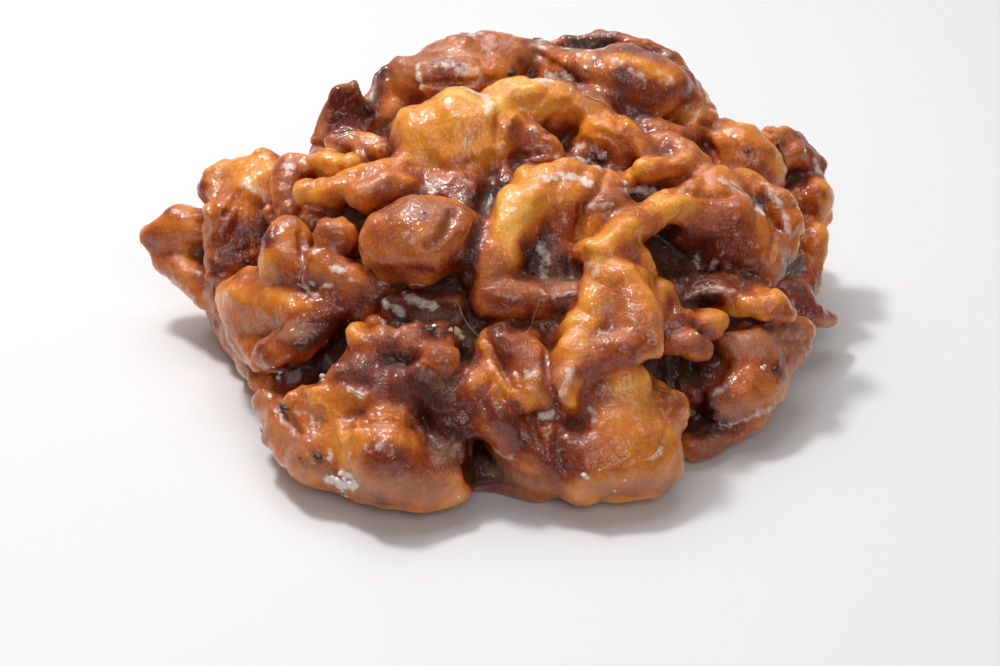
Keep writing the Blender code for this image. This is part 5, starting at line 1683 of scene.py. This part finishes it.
# %% Threads, half width in millimetres and path
THREADS = {
    "over the valley": (0.42, [(455, 300), (459, 305), (462, 315), (468, 325), (477, 335), (482, 338)]),
    "under the lip": (0.3, [(540, 300), (536, 310), (533, 318), (532, 325), (526, 333)]),
    "lip to tongue": (0.3, [(562, 297), (570, 293), (578, 291)]),
    "arch": (0.5, [(686, 298), (695, 293), (710, 288), (725, 291), (731, 294)]),
    "under the arch": (0.35, [(730, 298), (733, 306), (735, 315)]),
    "front curl": (0.35, [(644, 460), (650, 459), (657, 453), (661, 446)]),
    "golden dome": (0.3, [(468, 128), (467, 140), (466, 152)]),
    "left of the dome": (0.35, [(335, 140), (350, 134), (365, 138)]),
    "valley rim": (0.4, [(407, 285), (416, 284), (426, 286)]),
    "left crust": (0.45, [(302, 254), (303, 265), (300, 275), (298, 284)]),
    "low left crust": (0.35, [(296, 283), (305, 288), (312, 295), (318, 300)]),
    "over the slope": (0.4, [(346, 387), (355, 392), (364, 397)]),
    "band": (0.35, [(620, 160), (606, 172), (590, 166), (575, 160)]),
    "knob": (0.3, [(770, 130), (778, 140), (784, 155), (789, 172)]),
    "swirl": (0.35, [(728, 182), (742, 191), (754, 203), (761, 215)]),
    "low arm": (0.3, [(213, 280), (212, 290), (213, 299)]),
    "red lump": (0.3, [(494, 449), (502, 455), (512, 458)]),
}
THREAD_SHARE, THREAD_FLAT = 0.6, 0.5
THREAD_LEAST_SPOTS = 4
THREAD_LONGEST_STEP = 5
THREAD_COLOUR = (0.62, 0.40, 0.26, 1)
THREAD_SEED = 31
FAR_THREADS = (32, 12, (0, 0), (0.28, 0.45), (5, 14))

draw = random.Random(THREAD_SEED)
strings = []
final_tree = tree_of(skin)
rows = [(width, trail(final_tree, path)) for width, path in THREADS.values()]
rows += [(width, spots) for _, width, spots in far_marks(final_tree, *FAR_THREADS)]
for width, spots in rows:
    if len(spots) < THREAD_LEAST_SPOTS:
        continue
    if np.linalg.norm(np.diff(spots, axis=0), axis=1).max() < THREAD_LONGEST_STEP:
        strings.append(thread(spots, width * THREAD_SHARE, width * THREAD_FLAT, draw))
threads = joined("glaze_threads", strings)
glaze_look = Recipe("sugar_glaze")
wear(threads, glaze_look.finish(Base_Color=THREAD_COLOUR, Roughness=0.3, Coat_Weight=1.0,
                                Coat_Roughness=0.06, Transmission_Weight=0.5, IOR=1.45,
                                Normal=glaze_look.bump(glaze_look.speckle(0.5), 0.02)))
print(len(strings), "threads,", len(threads.data.polygons), "triangles")

# %% [markdown]
# Crumbs of set sugar break off the rims, and the hand drops crumbs of dough in the valleys. They are
# balls pushed out of shape by noise. A mark in the material would do from afar, but only a true crumb
# stands up from the crust and casts its own small shadow.

# %% Crumbs of sugar and of dough, each as a pixel and a half size in millimetres
SUGAR_CRUMBS = [
    (278, 377, 0.8), (280, 372, 0.5), (322, 377, 0.6), (323, 381, 0.45), (273, 367, 0.35), (396, 376, 0.4),
    (763, 369, 0.6), (765, 366, 0.4), (584, 475, 0.5), (588, 478, 0.35), (600, 470, 0.3), (625, 480, 0.4),
    (615, 491, 0.35), (458, 497, 0.4), (332, 478, 0.8), (338, 482, 0.9), (345, 479, 0.8), (350, 484, 0.7),
    (341, 474, 0.6), (355, 481, 0.5), (346, 496, 0.6), (350, 501, 0.7), (356, 505, 0.6), (361, 507, 0.5),
    (343, 491, 0.5), (626, 183, 0.5), (697, 334, 0.4), (606, 152, 0.35)]
DOUGH_CRUMBS = [
    (455, 333, 1.2), (461, 338, 0.9), (450, 330, 0.7), (248, 390, 0.5), (251, 412, 0.7), (262, 430, 0.6),
    (257, 421, 0.4), (245, 380, 0.4)]
CRUMB_SEED = 41
FAR_CRUMBS, FAR_CRUMB_SIZES = 26, (0.3, 0.8)
SUGAR_CRUMB_COLOUR = (0.86, 0.80, 0.76, 1)
DOUGH_CRUMB_COLOUR = (0.62, 0.46, 0.2, 1)


def near_spots(rows):
    """Spots under pixels, each with its size, from rows of (u, v, half size in millimetres)."""
    return [(touch(final_tree, u, v), size) for u, v, size in rows]


def far_spots(count, sizes, draw):
    """As many random spots on the far side, each with its size."""
    return [(aimed(final_tree, draw.uniform(FAR_FROM, FAR_TO), draw.uniform(FAR_LOW, FAR_HIGH)),
             draw.uniform(*sizes)) for _ in range(count)]


def crumbs_at(spots, draw, squash=1.0):
    return [crumb(spot, size, draw, squash) for spot, size in spots if spot is not None]


draw = random.Random(CRUMB_SEED)
far = far_spots(FAR_CRUMBS, FAR_CRUMB_SIZES, draw)
sugar_crumbs = joined("sugar_crumbs", crumbs_at(near_spots(SUGAR_CRUMBS) + far, draw))
crumb_look = Recipe("sugar_crumbs")
wear(sugar_crumbs, crumb_look.finish(Base_Color=SUGAR_CRUMB_COLOUR, Roughness=0.55, Coat_Weight=0.4,
                                     Coat_Roughness=0.2,
                                     Normal=crumb_look.bump(crumb_look.speckle(0.3), 0.05)))
dough_crumbs = joined("dough_crumbs", crumbs_at(near_spots(DOUGH_CRUMBS), draw))
dough_look = Recipe("dough_crumbs")
wear(dough_crumbs, dough_look.finish(Base_Color=DOUGH_CRUMB_COLOUR, Roughness=0.5, Coat_Weight=0.6,
                                     Coat_Roughness=0.2,
                                     Normal=dough_look.bump(dough_look.speckle(0.4), 0.1)))
print("crumbs:", len(sugar_crumbs.data.polygons) + len(dough_crumbs.data.polygons), "triangles")

# %% [markdown]
# The berries burst in the fat, and bits of their skin dry on the crust. They are made as the crumbs
# are, only flatter and blue-black, with a dim coat, because a bright one would make beads of them.

# %% Berry bits, each as a pixel and a half size in millimetres
BERRY_BITS = [
    (285, 408, 1.3), (283, 412, 0.7), (748, 150, 0.8), (423, 213, 0.6), (546, 132, 0.8), (470, 197, 1.0),
    (775, 368, 0.8), (318, 457, 0.9), (300, 458, 0.4), (430, 329, 1.0), (665, 247, 1.1), (246, 261, 0.8),
    (528, 250, 0.7), (558, 404, 0.6)]
BERRY_SEED = 51
BERRY_FLAT = 0.45
BERRY_COLOUR = (0.028, 0.017, 0.017, 1)
FAR_BERRIES, FAR_BERRY_SIZES = 12, (0.6, 1.6)

draw = random.Random(BERRY_SEED)
far = far_spots(FAR_BERRIES, FAR_BERRY_SIZES, draw)
berries = joined("berry_bits", crumbs_at(near_spots(BERRY_BITS) + far, draw, BERRY_FLAT))
berry_look = Recipe("berry_bits")
wear(berries, berry_look.finish(Base_Color=BERRY_COLOUR, Roughness=0.5, Coat_Weight=0.3,
                                Coat_Roughness=0.15,
                                Normal=berry_look.bump(berry_look.speckle(0.5), 0.08)))
print("berry bits:", len(berries.data.polygons), "triangles")

# %% [markdown]
# ## Floor and light
# The photograph was lit by a large soft window behind and above the fritter, with white all round. A
# gradient sky stands for the room: bright above and behind, dim in front, so that front faces keep
# their deep colour and the tops catch the milk-white sheen. A small hard lamp beside the window gives
# the wet glints, and the shadow that seats the fritter on the floor.

# %% Floor
FLOOR_COLOUR = (0.75, 0.75, 0.755, 1)
FLOOR_SIZE = 3.0

bm = bmesh.new()
bmesh.ops.create_grid(bm, x_segments=1, y_segments=1, size=FLOOR_SIZE)
floor_mesh = bpy.data.meshes.new("floor")
bm.to_mesh(floor_mesh)
bm.free()
floor = link(bpy.data.objects.new("floor", floor_mesh))
floor_look = Recipe("pale_floor")
floor.data.materials.append(floor_look.finish(Base_Color=FLOOR_COLOUR, Roughness=0.6))
print("floor of", 2 * FLOOR_SIZE, "m")

# %% Sky and lamps, each lamp with its place and size in metres and its power in watts
SKY_IN_FRONT, SKY_BEHIND = 0.07, 0.25
SKY_OVERHEAD = 0.08
LAMPS = {
    "window": ((-0.1, 0.3, 0.75), 0.7, 3.6),
    "key": ((-0.25, 0.2, 0.7), 0.1, 3.3),
    "fill": ((0.15, -0.7, 0.6), 0.5, 2.0),
}
LAMPS_AIM = Vector((0, 0, 0.02))

world = bpy.data.worlds.new("white_room")
scene.world = world
world.use_nodes = True
sky, sky_links = world.node_tree.nodes, world.node_tree.links
where = sky.new("ShaderNodeTexCoord")
split = sky.new("ShaderNodeSeparateXYZ")
sky_links.new(where.outputs["Generated"], split.inputs[0])
total = sky.new("ShaderNodeMath")
gradients = (("Y", -1.0, SKY_IN_FRONT, SKY_BEHIND), ("Z", 0.0, 0.0, SKY_OVERHEAD))
for i, (axis, low, least, most) in enumerate(gradients):
    gradient = sky.new("ShaderNodeMapRange")
    for key, value in (("From Min", low), ("From Max", 1.0), ("To Min", least), ("To Max", most)):
        gradient.inputs[key].default_value = value
    sky_links.new(split.outputs[axis], gradient.inputs["Value"])
    sky_links.new(gradient.outputs[0], total.inputs[i])
sky["Background"].inputs["Color"].default_value = (1, 1, 1, 1)
sky_links.new(total.outputs[0], sky["Background"].inputs["Strength"])

for name, (place, size, power) in LAMPS.items():
    light = bpy.data.lights.new(name, "AREA")
    light.energy = power
    light.size = size
    lamp = link(bpy.data.objects.new(name, light))
    lamp.location = place
    lamp.rotation_euler = (LAMPS_AIM - lamp.location).to_track_quat("-Z", "Y").to_euler()
scene.view_settings.view_transform = "Standard"
print(len(LAMPS), "lamps")
